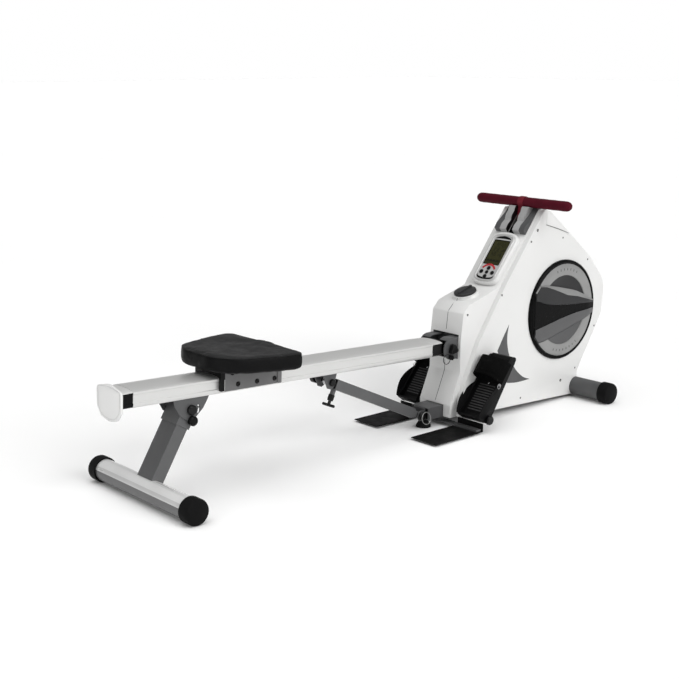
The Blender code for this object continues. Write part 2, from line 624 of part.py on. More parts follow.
# Hinge, rail and seat
def make_hinge():
    x, _, z = RAIL_PIVOT
    side = arc(x, z, 0.038, 90, 270, 12) + [(0.3340, z - 0.038), (0.3340, z + 0.038)]
    bracket = outline("hinge_bracket", [side], 0.0565, 0.0605, GREY)
    join(bracket, outline("cheek", [side], -0.0605, -0.0565, helper=True))
    join(bracket, block("back", (0.3300, -0.0580, z - 0.038), (0.3340, 0.0580, z + 0.038), helper=True))
    hood = arc(x, z, 0.0380, 125, 90, 4) + [(0.3320, z + 0.038), (0.3320, z + 0.0345)] + arc(x, z, 0.0345, 90, 125, 4)
    for _, sign in sides():
        low, high = sorted((sign * 0.0235, sign * 0.0580))
        join(bracket, outline("hood", [hood], low, high, helper=True))
    cut(bracket, rod("bolt_hole", (x, -0.1, z), (x, 0.1, z), 0.0066, sides=12, helper=True))
    px, pz = x - 0.007, z - 0.0290
    cut(bracket, rod("pin_hole", (px, -0.1, pz), (px, 0.1, pz), 0.0042, sides=16, helper=True))
    knob = bolt("hinge_bolt", RAIL_PIVOT, 0.0060, 0.0605, 0.0100, 0.006, BLACK)
    corners = [(0.0265 * math.cos(turn), 0.0265 * math.sin(turn), 0.0075)
               for turn in (math.radians(100), math.radians(220), math.radians(340))]
    lobes = outline("lobes", [rounded(corners, 4)], -0.0785, -0.0640, helper=True, location=(x, 0, z))
    round_edges(lobes, 0.002, 1)
    join(knob, lobes)
    pin = rod("lock_pin", (px, -0.0720, pz), (px, 0.0640, pz), 0.0037, BLACK, sides=16)
    join(pin, rod("head", (px, -0.0720, pz), (px, -0.0612, pz), 0.0085, sides=16, helper=True))
    ring = bpy.data.meshes.new("ring")
    work = bmesh.new()
    bmesh.ops.create_cone(work, cap_ends=False, segments=20, radius1=0.0170, radius2=0.0170, depth=0.0018)
    work.to_mesh(ring)
    work.free()
    wire = place("ring", ring, None, helper=True, location=(px - 0.0245, -0.0690, pz - 0.002),
                 rotation=(math.pi / 2, 0, 0))
    thick = wire.modifiers.new("thickness", "SOLIDIFY")
    thick.thickness = 0.0018
    thick.offset = 0
    join(pin, wire)


def rail_section(grow=0.0):
    """The rail's arched outside, anticlockwise in Y and Z."""
    half = RAIL_HALF_WIDTH + grow
    crown = [(half * math.cos(turn), RAIL_SHOULDER + (RAIL_CROWN + grow - RAIL_SHOULDER) * math.sin(turn))
             for turn in (math.pi * step / 10 for step in range(11))]
    lip = 0.0035
    return ([(-half + lip, RAIL_LOW - grow), (half - lip, RAIL_LOW - grow), (half, RAIL_LOW + 0.006), (half, -0.008),
             (half - 0.0015, -0.006), (half - 0.0015, 0.016), (half, 0.018)] + crown
            + [(-half, 0.018), (-half + 0.0015, 0.016), (-half + 0.0015, -0.006), (-half, -0.008),
               (-half, RAIL_LOW + 0.006)])


def make_rail(rail):
    cavity = rounded([(-0.050, -0.0175, 0.004), (0.050, -0.0175, 0.004), (0.050, 0.021, 0.004),
                      (-0.050, 0.021, 0.004)], 2)
    outline("rail", [rail_section(), cavity], RAIL_REAR, RAIL_FRONT, ALUMINIUM, rail, "YZ")
    outline("rail_stop_rear", [rail_section(-0.0012)], RAIL_REAR - 0.040, RAIL_REAR - GAP, BLACK, rail, "YZ")
    shield = rounded([(-0.0645, -0.0280, 0.02), (-0.0430, -0.0560, 0.025), (0, -0.0645, 0.06),
                      (0.0430, -0.0560, 0.025), (0.0645, -0.0280, 0.02), (0.0655, 0.0300, 0.012),
                      (0, 0.0450, 0.06), (-0.0655, 0.0300, 0.012)], 3)
    plate = outline("rail_end_cap", [shield], RAIL_REAR - 0.0465, RAIL_REAR - 0.040 - GAP, WHITE, rail, "YZ")
    round_edges(plate, 0.003, 2)
    neck = 0.022
    section = rail_section(-0.0015)
    shoulder = outline("rail_hinge_block", [section], RAIL_FRONT + GAP, -0.0405, BLACK, rail, "YZ")
    tongue = arc(0, 0, 0.0220, -90, 90, 10) + [(-0.050, 0.0200), (-0.050, -0.0195)]
    join(shoulder, outline("tongue", [tongue], -neck, neck, body=rail, helper=True))
    cut(shoulder, rod("bolt_hole", (0, -0.1, 0), (0, 0.1, 0), 0.0066, body=rail, sides=16, helper=True))
    make_rear_leg(rail)
    make_strut_bracket(rail)


def in_rail(point):
    """A world point in the rail's own axes."""
    turn = Matrix.Rotation(RAIL_TILT, 3, "Y")
    return turn.transposed() @ (Vector(point) - RAIL_PIVOT)


def flat(points):
    """World (x, z) pairs in the rail's side view."""
    moved = [in_rail((x, 0, z)) for x, z in points]
    return [(point.x, point.z) for point in moved]


def make_strut_bracket(rail):
    under = RAIL_LOW - GAP
    corners = flat([(-0.2790, 0.2740), (-0.2590, 0.2250), (-0.2440, 0.2190), (-0.2330, 0.2240), (-0.2160, 0.2700)])
    cheek = [(corners[0][0], under)] + corners[1:4] + [(corners[4][0], under)]
    bracket = outline("strut_bracket", [cheek], 0.0215, 0.0250, GREY, rail)
    join(bracket, outline("cheek", [cheek], -0.0250, -0.0215, body=rail, helper=True))
    low = corners[0][0]
    high = corners[4][0]
    join(bracket, block("top_plate", (low, -0.0400, under - 0.003), (high, 0.0400, under), body=rail, helper=True))
    centre = in_rail(STRUT_TOP)
    cut(bracket, rod("bolt_hole", centre + Vector((0, -0.1, 0)), centre + Vector((0, 0.1, 0)), 0.0056, body=rail,
                     sides=16, helper=True))
    tongue_end = 0.0265
    run = (STRUT_BASE - STRUT_TOP).normalized()
    across = Vector((-run.z, 0, run.x))
    tongue = []
    for reach, height in ((tongue_end, -0.0120), (tongue_end, 0.0120)):
        corner = STRUT_TOP + run * reach + across * height
        tongue.append((corner.x, corner.z))
    heading = math.degrees(math.atan2(run.z, run.x))
    tongue += arc(STRUT_TOP.x, STRUT_TOP.z, 0.0120, heading + 90, heading + 270, 8)
    hole = circle(STRUT_TOP.x, STRUT_TOP.z, 0.0056)
    outline("strut_tongue", [flat(tongue), flat(hole)], -0.0100, 0.0100, STEEL, rail)
    knob = bolt("strut_bolt", centre, 0.0050, 0.0250, 0.0120, 0.010, BLACK, rail)
    join(knob, rod("hand_knob", centre + Vector((0, 0.050, 0)), centre + Vector((0, 0.068, 0)), 0.0165, body=rail,
                   sides=14, helper=True))
    join(knob, rod("stud", centre + Vector((0, 0.030, 0)), centre + Vector((0, 0.055, 0)), 0.0045, body=rail,
                   sides=12, helper=True))


def make_strut():
    """The support strut, in its own axes: X runs up from the pivot at its base."""
    run = STRUT_TOP - STRUT_BASE
    base = pivot("strut_pivot", STRUT_BASE, (0, -math.atan2(run.z, run.x), 0))
    top = run.length - 0.0280
    tube_section = [[(-0.0200, -0.0173), (0.0200, -0.0173), (0.0200, 0.0173), (-0.0200, 0.0173)],
                    [(-0.0180, -0.0153), (0.0180, -0.0153), (0.0180, 0.0153), (-0.0180, 0.0153)]]
    strut = outline("strut", tube_section, 0.030, top, GREY, base, "YZ")
    eye = arc(0, 0, 0.0115, 90, 270, 8) + [(0.040, -0.0115), (0.040, 0.0115)]
    join(strut, outline("eye", [eye], -0.0190, 0.0190, body=base, helper=True))
    cut(strut, rod("bolt_hole", (0, -0.1, 0), (0, 0.1, 0), 0.0056, body=base, sides=16, helper=True))
    pin_x = top - 0.012
    join(strut, rod("sleeve", (pin_x, 0, 0.0165), (pin_x, 0, 0.0350), 0.0085, body=base, sides=16, helper=True))
    cut(strut, rod("pin_hole", (pin_x, 0, 0.0100), (pin_x, 0, 0.0500), 0.0046, body=base, sides=16, helper=True))
    profile = [(0, 0.0760), (0.006, 0.0755), (0.0075, 0.0700), (0.0055, 0.0660), (0.0050, 0.0570), (0.0095, 0.0560),
               (0.0105, 0.0480), (0.0105, 0.0354), (0.0042, 0.0354), (0.0042, 0.0040), (0, 0.0040)]
    pull = turned("pull_pin", profile, (0, 0, 1), BLACK, base, (pin_x, 0, 0), 16)
    join(pull, rod("pull_bar", (pin_x, -0.0265, 0.0710), (pin_x, 0.0265, 0.0710), 0.0048, body=base, sides=12,
                   helper=True))


def make_rear_leg(rail):
    under = RAIL_LOW - GAP
    at = in_rail(LEG_PIVOT)
    low_line = flat([(-0.8420, 0.2500), (-0.8180, 0.2330), (-0.8030, 0.2160), (-0.7900, 0.2190), (-0.7860, 0.2380),
                     (-0.7600, 0.2600), (-0.7420, 0.2860)])
    start = in_rail((-0.8620, 0, 0.29)).x
    end = in_rail((-0.7380, 0, 0.29)).x
    cheek = [(start, under), (start + 0.004, under - 0.020)] + low_line + [(end, under)]
    slot = [flat([point])[0] for point in arc(LEG_PIVOT.x, LEG_PIVOT.z, 0.0300, -30, 25, 4)
            + arc(LEG_PIVOT.x, LEG_PIVOT.z, 0.0240, 25, -30, 4)]
    bracket = outline("rear_leg_bracket", [cheek, slot], 0.0425, 0.0455, GREY, rail)
    join(bracket, outline("cheek", [cheek, slot], -0.0455, -0.0425, body=rail, helper=True))
    join(bracket, block("top_plate", (start, -0.0450, under - 0.0025), (end, 0.0450, under), body=rail, helper=True))
    hole_low = at + Vector((0, -0.1, 0))
    hole_high = at + Vector((0, 0.1, 0))
    cut(bracket, rod("bolt_hole", hole_low, hole_high, 0.0056, body=rail, sides=16, helper=True))
    lock = in_rail((-0.8010, 0, 0.2290))
    lock_profile = [(0, 0.0610), (0.0100, 0.0600), (0.0148, 0.0560), (0.0148, 0.0458), (0, 0.0458)]
    turned("leg_lock_knob", lock_profile, (0, -1, 0), BLACK, rail, (lock.x, 0, lock.z), 18)
    bolt("leg_pivot_bolt", at, 0.0050, 0.0455, 0.0155, 0.012, BLACK, rail)
    leg = pivot("rear_leg_pivot", at, (0, LEG_LEAN - RAIL_TILT, 0), rail)
    section = [[(-0.0210, -0.0380), (0.0210, -0.0380), (0.0210, 0.0380), (-0.0210, 0.0380)],
               [(-0.0190, -0.0360), (0.0190, -0.0360), (0.0190, 0.0360), (-0.0190, 0.0360)]]
    post = outline("rear_leg", section, -LEG_LENGTH + 0.006, 0.0180, GREY, leg, "XY")
    collar = [[(-0.0250, -0.0412), (0.0250, -0.0412), (0.0250, 0.0412), (-0.0250, 0.0412)],
              [(-0.0200, -0.0370), (0.0200, -0.0370), (0.0200, 0.0370), (-0.0200, 0.0370)]]
    join(post, outline("collar", collar, -0.0560, 0.0200, body=leg, plane="XY", helper=True))
    saddle(post, (0, -LEG_LENGTH), leg)
    cut(post, rod("bolt_hole", (0, -0.1, 0), (0, 0.1, 0), 0.0056, body=leg, sides=16, helper=True))
    stabilizer("rear_stabilizer", leg, (0, -LEG_LENGTH))


def make_seat(rail):
    carriage = pivot("seat_carriage_pivot", (SEAT_X, 0, 0), body=rail)
    half = CARRIAGE_HALF_LENGTH
    inner = RAIL_HALF_WIDTH + 0.0070
    plate_low = RAIL_CROWN + 0.0160
    plate_top = plate_low + 0.0030
    hat = [(-inner - 0.003, -0.0150), (-inner, -0.0150), (-inner, plate_low), (inner, plate_low), (inner, -0.0150),
           (inner + 0.003, -0.0150), (inner + 0.003, plate_top), (-inner - 0.003, plate_top)]
    rear = -half + 0.0090
    frame = outline("seat_carriage", [hat], rear, half, SILVER, carriage, "YZ")
    height = RAIL_CROWN + ROLLER_RADIUS - 0.0016
    for at, name in ((-ROLLER_SPACING, "seat_roller_rear"), (ROLLER_SPACING, "seat_roller_front")):
        make_roller(name, carriage, (at, 0, height), inner)
        cut(frame, rod("shaft_hole", (at, -0.1, height), (at, 0.1, height), 0.0048, body=carriage, sides=10,
                       helper=True))
    base_low = plate_top + GAP
    base_high = base_low + 0.0040
    pan = [(-0.130, -0.080, 0.03), (0.105, -0.120, 0.03), (0.105, 0.120, 0.03), (-0.130, 0.080, 0.03)]
    base = outline("seat_base", [rounded(pan)], base_low, base_high, BLACK, carriage, "XY")
    clear = RAIL_HALF_WIDTH + 0.0014
    outer = inner + 0.0045
    arch = [(y * clear / RAIL_HALF_WIDTH, z + 0.0012) for y, z in rail_section() if z > 0.0170]
    wiper = [(-clear, -0.0130), (-outer, -0.0130), (-outer, base_low + 0.002), (outer, base_low + 0.002),
             (outer, -0.0130), (clear, -0.0130)]
    for low, high in ((rear - 0.0150, rear - GAP), (half + GAP, half + 0.0150)):
        join(base, outline("wiper", [wiper + arch], low, high, body=carriage, plane="YZ", helper=True))
    pad_low = base_high + GAP
    pad = rounded([(-0.160, -0.070, 0.05), (-0.118, -0.140, 0.08), (0.020, -0.184, 0.08), (0.112, -0.192, 0.03),
                   (0.128, 0, 0.10), (0.112, 0.192, 0.03), (0.020, 0.184, 0.08), (-0.118, 0.140, 0.08),
                   (-0.160, 0.070, 0.05)], 2)
    cushion = outline("seat_pad", [pad], pad_low, pad_low + 0.0480, VINYL, carriage, "XY")
    round_edges(cushion, 0.013, 2)


def make_roller(name, carriage, centre, inner):
    """A shaft with a roller at each side that runs on the rail's crown, and a cap outside each plate."""
    tyre_in = 0.0350
    tyre_out = 0.0470
    reach = inner + 0.0034
    profile = [(0, reach + 0.003), (0.0065, reach + 0.003), (0.0065, reach), (0.0040, reach), (0.0040, tyre_out),
               (ROLLER_RADIUS, tyre_out), (ROLLER_RADIUS, tyre_in), (0.0040, tyre_in)]
    mirrored = [(radius, -position) for radius, position in reversed(profile)]
    turned(name, profile + mirrored, (0, -1, 0), BLACK, carriage, centre, 14)


# Pedals
def make_pedals():
    for side, sign in sides():
        pedal = pivot("pedal_pivot_" + side, (PEDAL_AXLE.x, sign * PEDAL_Y, PEDAL_AXLE.z), (0, -PEDAL_RECLINE, 0))
        half = PEDAL_HALF_WIDTH
        sole = arc(0, 0, 0.0140, 180, 300, 5) + [(0.2340, 0.0060), (0.2400, 0.0110), (0.2400, 0.0180),
                                                 (0.2360, 0.0220), (-0.0140, 0.0220)]
        base = outline("pedal_" + side, [sole, circle(0, 0, 0.0086)], -half + 0.002, half - 0.002, BLACK, pedal)
        lip = rounded([(-0.018, 0.010, 0.004), (0.225, 0.006, 0.008), (0.238, 0.030, 0.008), (0.120, 0.036, 0.0),
                       (0.020, 0.036, 0.0), (-0.020, 0.046, 0.008)], 2)
        for edge in (-1, 1):
            low, high = sorted((edge * half, edge * (half - 0.007)))
            join(base, outline("lip", [lip], low, high, body=pedal, helper=True))
        join(base, block("heel_cup", (-0.0190, -half + 0.004, 0.0120), (-0.0120, half - 0.004, 0.0420), body=pedal,
                         helper=True))
        width = half + 0.0004
        outer = rounded([(-width, 0.0230, 0), (-width - 0.003, 0.0230, 0), (-width - 0.003, 0.0620, 0.02),
                         (-0.030, 0.0860, 0.03), (0.030, 0.0860, 0.03), (width + 0.003, 0.0620, 0.02),
                         (width + 0.003, 0.0230, 0), (width, 0.0230, 0), (width, 0.0600, 0.018),
                         (0.030, 0.0820, 0.028), (-0.030, 0.0820, 0.028), (-width, 0.0600, 0.018)], 3)
        outline("pedal_strap_" + side, [outer], 0.130, 0.205, WEBBING, pedal, "YZ")


def main():
    make_frame()
    make_casing()
    make_drive()
    make_console()
    make_cradle_and_handle()
    make_hinge()
    rail = pivot("rail_pivot", RAIL_PIVOT, (0, RAIL_TILT, 0))
    make_rail(rail)
    make_seat(rail)
    make_strut()
    make_pedals()


main()
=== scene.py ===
"""The looks of the rowing machine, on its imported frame. Metres, +Z up, X along the rail, flywheel at +X."""
import math
import bmesh
import bpy
from mathutils import Matrix, Vector, noise
from mathutils.bvhtree import BVHTree


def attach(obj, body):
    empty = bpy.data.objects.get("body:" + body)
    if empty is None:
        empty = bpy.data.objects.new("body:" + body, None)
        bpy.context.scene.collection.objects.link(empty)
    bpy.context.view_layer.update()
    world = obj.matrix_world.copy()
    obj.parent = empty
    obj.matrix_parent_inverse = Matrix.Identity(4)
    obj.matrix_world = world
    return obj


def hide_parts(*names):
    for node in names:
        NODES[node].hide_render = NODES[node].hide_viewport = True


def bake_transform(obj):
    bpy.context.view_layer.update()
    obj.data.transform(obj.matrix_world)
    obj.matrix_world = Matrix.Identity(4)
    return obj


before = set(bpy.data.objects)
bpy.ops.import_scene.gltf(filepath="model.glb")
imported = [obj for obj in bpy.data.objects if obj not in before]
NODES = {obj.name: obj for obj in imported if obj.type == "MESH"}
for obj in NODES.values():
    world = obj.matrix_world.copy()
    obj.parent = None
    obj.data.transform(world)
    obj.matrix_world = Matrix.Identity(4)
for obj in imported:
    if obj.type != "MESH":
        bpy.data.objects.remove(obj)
SCENE = bpy.context.scene
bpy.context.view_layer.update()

# Places, measured from the machine's own datum, which stands a little behind the middle of its length
DATUM = Matrix.Translation((-0.0176, 0, 0))
RAIL = DATUM @ Matrix.Translation((0.28, 0, 0.279)) @ Matrix.Rotation(math.atan(0.038), 4, "Y")
CARRIAGE = RAIL @ Matrix.Translation((-0.88, 0, 0))
SLOPE = math.atan2(0.266, 0.2105)
CONSOLE = DATUM @ Matrix.Translation((0.56, 0, 0.56)) @ Matrix.Rotation(-SLOPE, 4, "Y")
KNOB = DATUM @ Matrix.Translation((0.412, 0, 0.4435)) @ Matrix.Rotation(-math.radians(17), 4, "Y")
STRUT_BASE, STRUT_TOP = (0.172, 0.0505), (-0.2395, 0.2418)
DISC_CENTRE = Vector((0.832, 0.35))
PANEL_FACE = 0.093
SIDES = (("right", -1), ("left", 1))


# Camera, light and floor
def make_camera():
    data = bpy.data.cameras.new("camera")
    data.lens = 65.51
    data.sensor_width = 36.0
    data.shift_x = 0.0072
    camera = bpy.data.objects.new("camera", data)
    camera.location = (-2.7923, -2.9256, 1.2617)
    camera.rotation_euler = (math.radians(77.17), 0, math.radians(-41.28))
    SCENE.collection.objects.link(camera)
    SCENE.camera = camera


def lamp(name, kind, place, target, power):
    data = bpy.data.lights.new(name, kind)
    data.energy = power
    made = bpy.data.objects.new(name, data)
    made.location = place
    made.rotation_euler = (Vector(target) - Vector(place)).to_track_quat("-Z", "Y").to_euler()
    SCENE.collection.objects.link(made)
    return data


def make_light():
    world = bpy.data.worlds.new("studio")
    SCENE.world = world
    world.use_nodes = True
    sky = world.node_tree.nodes["Background"]
    sky.inputs["Color"].default_value = (1.0, 1.0, 1.0, 1)
    path = world.node_tree.nodes.new("ShaderNodeLightPath")
    strength = world.node_tree.nodes.new("ShaderNodeMapRange")
    strength.inputs["To Min"].default_value = 0.4
    strength.inputs["To Max"].default_value = 1.0
    world.node_tree.links.new(path.outputs["Is Camera Ray"], strength.inputs["Value"])
    world.node_tree.links.new(strength.outputs[0], sky.inputs["Strength"])
    lamp("overhead", "SUN", (-0.6, -0.2, 3.4), (0, 0, 0.2), 1.15).angle = math.radians(60)
    lamp("key", "SUN", (0.9, -3.6, 2.6), (0.3, 0, 0.3), 1.7).angle = math.radians(40)
    lamp("rear_fill", "AREA", (-2.5, -0.7, 0.7), (-1.07, 0, 0.32), 5.0).size = 0.6
    SCENE.view_settings.view_transform = "Standard"


# Materials
class Graph:
    """The shader nodes of one material, in the coordinates of its object."""

    def __init__(self, name):
        self.material = bpy.data.materials.new(name)
        self.material.use_nodes = True
        self.tree = self.material.node_tree
        self.shader = self.tree.nodes["Principled BSDF"]
        self.place = self.add("ShaderNodeTexCoord").outputs["Object"]

    def add(self, kind, inputs=(), **settings):
        node = self.tree.nodes.new(kind)
        for key, value in settings.items():
            setattr(node, key, value)
        for socket, value in dict(inputs).items():
            node.inputs[socket].default_value = value
        return node

    def link(self, source, node, socket):
        self.tree.links.new(source, node.inputs[socket])

    def maths(self, operation, a, b=0.0):
        node = self.add("ShaderNodeMath", operation=operation)
        for index, value in enumerate((a, b)):
            if isinstance(value, (int, float)):
                node.inputs[index].default_value = value
            else:
                self.link(value, node, index)
        return node.outputs[0]

    def axis(self, letter):
        node = self.add("ShaderNodeSeparateXYZ")
        self.link(self.place, node, 0)
        return node.outputs[letter]

    def speckle(self, scale, detail=3.0, stretch=(1, 1, 1)):
        mapping = self.add("ShaderNodeMapping", {"Scale": stretch})
        self.link(self.place, mapping, "Vector")
        texture = self.add("ShaderNodeTexNoise", {"Scale": scale, "Detail": detail})
        self.link(mapping.outputs[0], texture, "Vector")
        return texture.outputs[0]

    def spread(self, value, low, high, start=0.3, end=0.7):
        ranges = {"From Min": start, "From Max": end, "To Min": low, "To Max": high}
        node = self.add("ShaderNodeMapRange", ranges)
        self.link(value, node, "Value")
        return node.outputs[0]

    def mix(self, share, first, second):
        node = self.add("ShaderNodeMix", data_type="RGBA")
        self.link(share, node, 0)
        for index, value in ((6, first), (7, second)):
            if isinstance(value, tuple):
                node.inputs[index].default_value = (*value, 1)
            else:
                self.link(value, node, index)
        return node.outputs[2]

    def bump(self, height, strength, distance=0.001, under=None):
        node = self.add("ShaderNodeBump", {"Strength": strength, "Distance": distance})
        self.link(height, node, "Height")
        if under is not None:
            self.link(under, node, "Normal")
        return node.outputs[0]

    def surface(self, base, roughness, normal=None, specular=0.5):
        """Feeds the shader and hands over the material."""
        for value, socket in ((base, "Base Color"), (roughness, "Roughness"), (normal, "Normal")):
            if value is not None:
                self.link(value, self.shader, socket)
        self.shader.inputs["Specular IOR Level"].default_value = specular
        return self.material


SMEAR_SCALE, GLOSS_SPREAD, COAT_ROUGHNESS = 3.7, 0.06, 0.12


def shade(colour, factor):
    return tuple(min(1.0, c * factor) for c in colour)


def finish(name, colour, roughness, metallic=0.0, variation=0.06, grain_depth=0.04, grain=900.0, patch=9.0,
           stretch=(1, 1, 1), coat=0.0, masks=(), specular=0.5):
    """A surface with patchy colour, uneven gloss and a fine grain. masks are (axis, absolute, edge, colour):
    past that edge along the axis, or on both sides of its middle plane if absolute, the colour takes over."""
    graph = Graph(name)
    patches = graph.spread(graph.speckle(patch, 4.0), 0.0, 1.0)

    def patchy(tone):
        return graph.mix(patches, shade(tone, 1 - variation), shade(tone, 1 + variation))

    base = patchy(colour)
    for letter, absolute, edge, other in masks:
        place = graph.axis(letter)
        if absolute:
            place = graph.maths("ABSOLUTE", place)
        base = graph.mix(graph.maths("GREATER_THAN", place, edge), base, patchy(other))
    smears = graph.speckle(patch * SMEAR_SCALE, 5.0, stretch)
    gloss = graph.spread(smears, max(0.03, roughness - GLOSS_SPREAD), min(1.0, roughness + GLOSS_SPREAD))
    for socket, number in (("Metallic", metallic), ("Coat Weight", coat), ("Coat Roughness", COAT_ROUGHNESS)):
        graph.shader.inputs[socket].default_value = number
    grains = graph.bump(graph.speckle(grain, 2.0, stretch), grain_depth) if grain_depth else None
    return graph.surface(base, gloss, grains, specular)


def make_vinyl():
    """Black upholstery: a pebbled grain from small cells, with broad soft creasing; the top is painted
    lighter than the sides as a painted highlight.
    """
    graph = Graph("seat_vinyl")
    cells = graph.add("ShaderNodeTexVoronoi", {"Scale": 520.0}, feature="SMOOTH_F1")
    graph.link(graph.place, cells, "Vector")
    patches = graph.spread(graph.speckle(14.0, 4.0), 0.0, 1.0)
    facing = graph.add("ShaderNodeSeparateXYZ")
    graph.link(graph.add("ShaderNodeNewGeometry").outputs["Normal"], facing, 0)
    # Painted light: the lighter top colour takes over as a face turns upwards, a painted highlight on the top
    # and painted shade on the sides.
    painted_top_light = graph.spread(facing.outputs["Z"], 0.0, 1.0, 0.55, 0.97)
    side = graph.mix(patches, (0.0022, 0.0022, 0.0024), (0.0036, 0.0036, 0.0038))
    top = graph.mix(patches, (0.018, 0.018, 0.0184), (0.026, 0.026, 0.0266))
    soft = graph.bump(graph.speckle(22.0, 2.0), 0.25, 0.004)
    return graph.surface(graph.mix(painted_top_light, side, top), graph.spread(graph.speckle(40.0, 4.0), 0.42, 0.58),
                         graph.bump(cells.outputs["Distance"], 0.35, 0.0006, soft), 0.1)


def make_webbing(name, colour, specular):
    """Woven strap: fine ribs across it, each broken up by a second set."""
    graph = Graph(name)
    waves = []
    for stretch in ((0, 1, 0), (0.6, 0, 0.8)):
        mapping = graph.add("ShaderNodeMapping", {"Scale": stretch})
        graph.link(graph.place, mapping, "Vector")
        wave = graph.add("ShaderNodeTexWave", {"Scale": 260.0, "Distortion": 0.6}, bands_direction="DIAGONAL")
        graph.link(mapping.outputs[0], wave, "Vector")
        waves.append(wave.outputs["Fac"])
    weave = graph.maths("MULTIPLY", waves[0], waves[1])
    patches = graph.spread(graph.speckle(25.0, 4.0), 0.0, 0.4)
    thread = graph.mix(weave, shade(colour, 0.7), shade(colour, 1.2))
    base = graph.mix(patches, thread, shade(colour, 1.5))
    gloss = graph.spread(graph.speckle(60.0), 0.72, 0.9)
    return graph.surface(base, gloss, graph.bump(weave, 0.5, 0.0006), specular)


def make_tread():
    """Black sheet steel with a rolled pattern of small round studs and scuffed tops."""
    graph = Graph("step_tread")
    cells = graph.add("ShaderNodeTexVoronoi", {"Scale": 150.0, "Randomness": 0.15}, feature="F1")
    graph.link(graph.place, cells, "Vector")
    studs = graph.spread(cells.outputs["Distance"], 1.0, 0.0, 0.15, 0.42)
    scuffs = graph.spread(graph.speckle(20.0, 6.0), 0.0, 0.5, 0.5, 0.75)
    base = graph.mix(graph.maths("MULTIPLY", studs, scuffs), (0.006, 0.006, 0.006), (0.03, 0.03, 0.03))
    gloss = graph.spread(graph.speckle(35.0, 4.0), 0.42, 0.62)
    return graph.surface(base, gloss, graph.bump(studs, 0.6, 0.0009), 0.06)


def make_floor_finish():
    graph = Graph("studio_floor")
    tone = graph.mix(graph.spread(graph.speckle(1.5), 0.0, 1.0), (0.955, 0.955, 0.953), (0.975, 0.975, 0.973))
    return graph.surface(tone, graph.spread(graph.speckle(3.0), 0.55, 0.65), specular=0.0)


BLACK = (0.0045, 0.0045, 0.0047)

WHITE_PLASTIC = finish("white_plastic", (0.7, 0.7, 0.692), 0.34, 0, 0.02, 0.03, patch=3.0, coat=0.2)
GREY_PAINT = finish("grey_powder_coat", (0.085, 0.086, 0.088), 0.42, 0.25, 0.07, 0.1, 1100.0)
LEG_PAINT = finish("mid_grey_powder_coat", (0.1, 0.101, 0.103), 0.42, 0.3, 0.06, 0.1, 1100.0)
ALUMINIUM = finish("brushed_aluminium", (0.66, 0.66, 0.65), 0.36, 0.6, 0.02, 0.03, 1800.0, 4.0, (0.008, 1, 1))
CARRIAGE_PAINT = finish("carriage_grey", (0.135, 0.135, 0.136), 0.4, 0.3, 0.06, 0.06)
# Painted light on the rear tube: below z 0.048 it is dark grey as painted shade, above that silver, and above
# z 0.06 a brighter band as a painted highlight.
SILVER_TUBE_PAINTED_LIGHT = finish("silver_tube_painted_shade_and_highlight", (0.11, 0.11, 0.112), 0.3, 0.5, 0.05, 0.03, 500.0, stretch=(1, 0.05, 1),
                     coat=0.2, masks=(("Z", False, 0.048, (0.66, 0.66, 0.655)),
                                      ("Z", False, 0.06, (0.84, 0.84, 0.835))))
SILVER_PLASTIC = finish("silver_plastic", (0.27, 0.27, 0.267), 0.36, 0.35, 0.05)
RIM_PLASTIC = finish("pale_grey_plastic", (0.5, 0.5, 0.495), 0.34, 0.2, 0.03, 0.03)
DARK_PLASTIC = finish("dark_grey_plastic", (0.026, 0.026, 0.027), 0.38, 0.1, 0.06, 0.06, specular=0.2)
MID_PLASTIC = finish("mid_grey_plastic", (0.098, 0.098, 0.1), 0.38, 0.2, 0.05, specular=0.25)
BLACK_PLASTIC = finish("black_plastic", BLACK, 0.4, 0, 0.12, 0.12, 800.0, specular=0.12)
BLACK_GLOSS = finish("black_gloss", (0.003, 0.003, 0.0031), 0.28, 0, 0.1, 0.01, specular=0.06)
TWO_TONE_BLOCK = finish("two_tone_block", BLACK, 0.36, 0.3, 0.06, 0.05, specular=0.3,
                        masks=(("Z", False, 0.3035, (0.55, 0.55, 0.54)),))
TWO_TONE_STOP = finish("two_tone_stop", BLACK, 0.36, 0.3, 0.06, 0.05, specular=0.12,
                       masks=(("Z", False, 0.3505, (0.62, 0.62, 0.61)),))
RIB_RUBBER = finish("rib_rubber", (0.045, 0.045, 0.046), 0.55, 0, 0.15, 0.1, specular=0.2)
BLACK_STEEL = finish("black_steel", BLACK, 0.35, 0.5, 0.1, 0.06)
RUBBER = finish("black_rubber", (0.0055, 0.0055, 0.0057), 0.6, 0, 0.12, 0.22, 700.0, specular=0.06)
STEEL = finish("bright_steel", (0.55, 0.55, 0.56), 0.28, 1.0, 0.05, 0.04, 400.0)
DARK_WIRE = finish("dark_wire", (0.03, 0.03, 0.03), 0.3, 0.9, 0.08, 0.03)
RED_FOAM = finish("burgundy_foam", (0.075, 0.004, 0.012), 0.62, 0, 0.1, 0.3, 1500.0, 30.0, specular=0.08)
RED_PLASTIC = finish("red_print", (0.4, 0.01, 0.015), 0.4, 0, 0.05, 0.02, 600.0)
CRADLE = finish("cradle_two_tone", (0.008, 0.008, 0.008), 0.34, 0.25, 0.05,
                masks=(("Y", True, 0.015, (0.38, 0.38, 0.38)), ("Y", True, 0.0445, (0.075, 0.076, 0.078))))
LCD = finish("display_film", (0.033, 0.033, 0.012), 0.25, 0, 0.05, 0, patch=40.0, specular=0.1)
INK = finish("display_ink", (0.002, 0.002, 0.001), 0.5, 0, 0.1, 0, specular=0.1)
VINYL = make_vinyl()
BLACK_WEB = make_webbing("black_webbing", (0.0032, 0.0032, 0.0032), 0.04)
RED_WEB = make_webbing("red_webbing", (0.14, 0.004, 0.014), 0.3)
TREAD = make_tread()

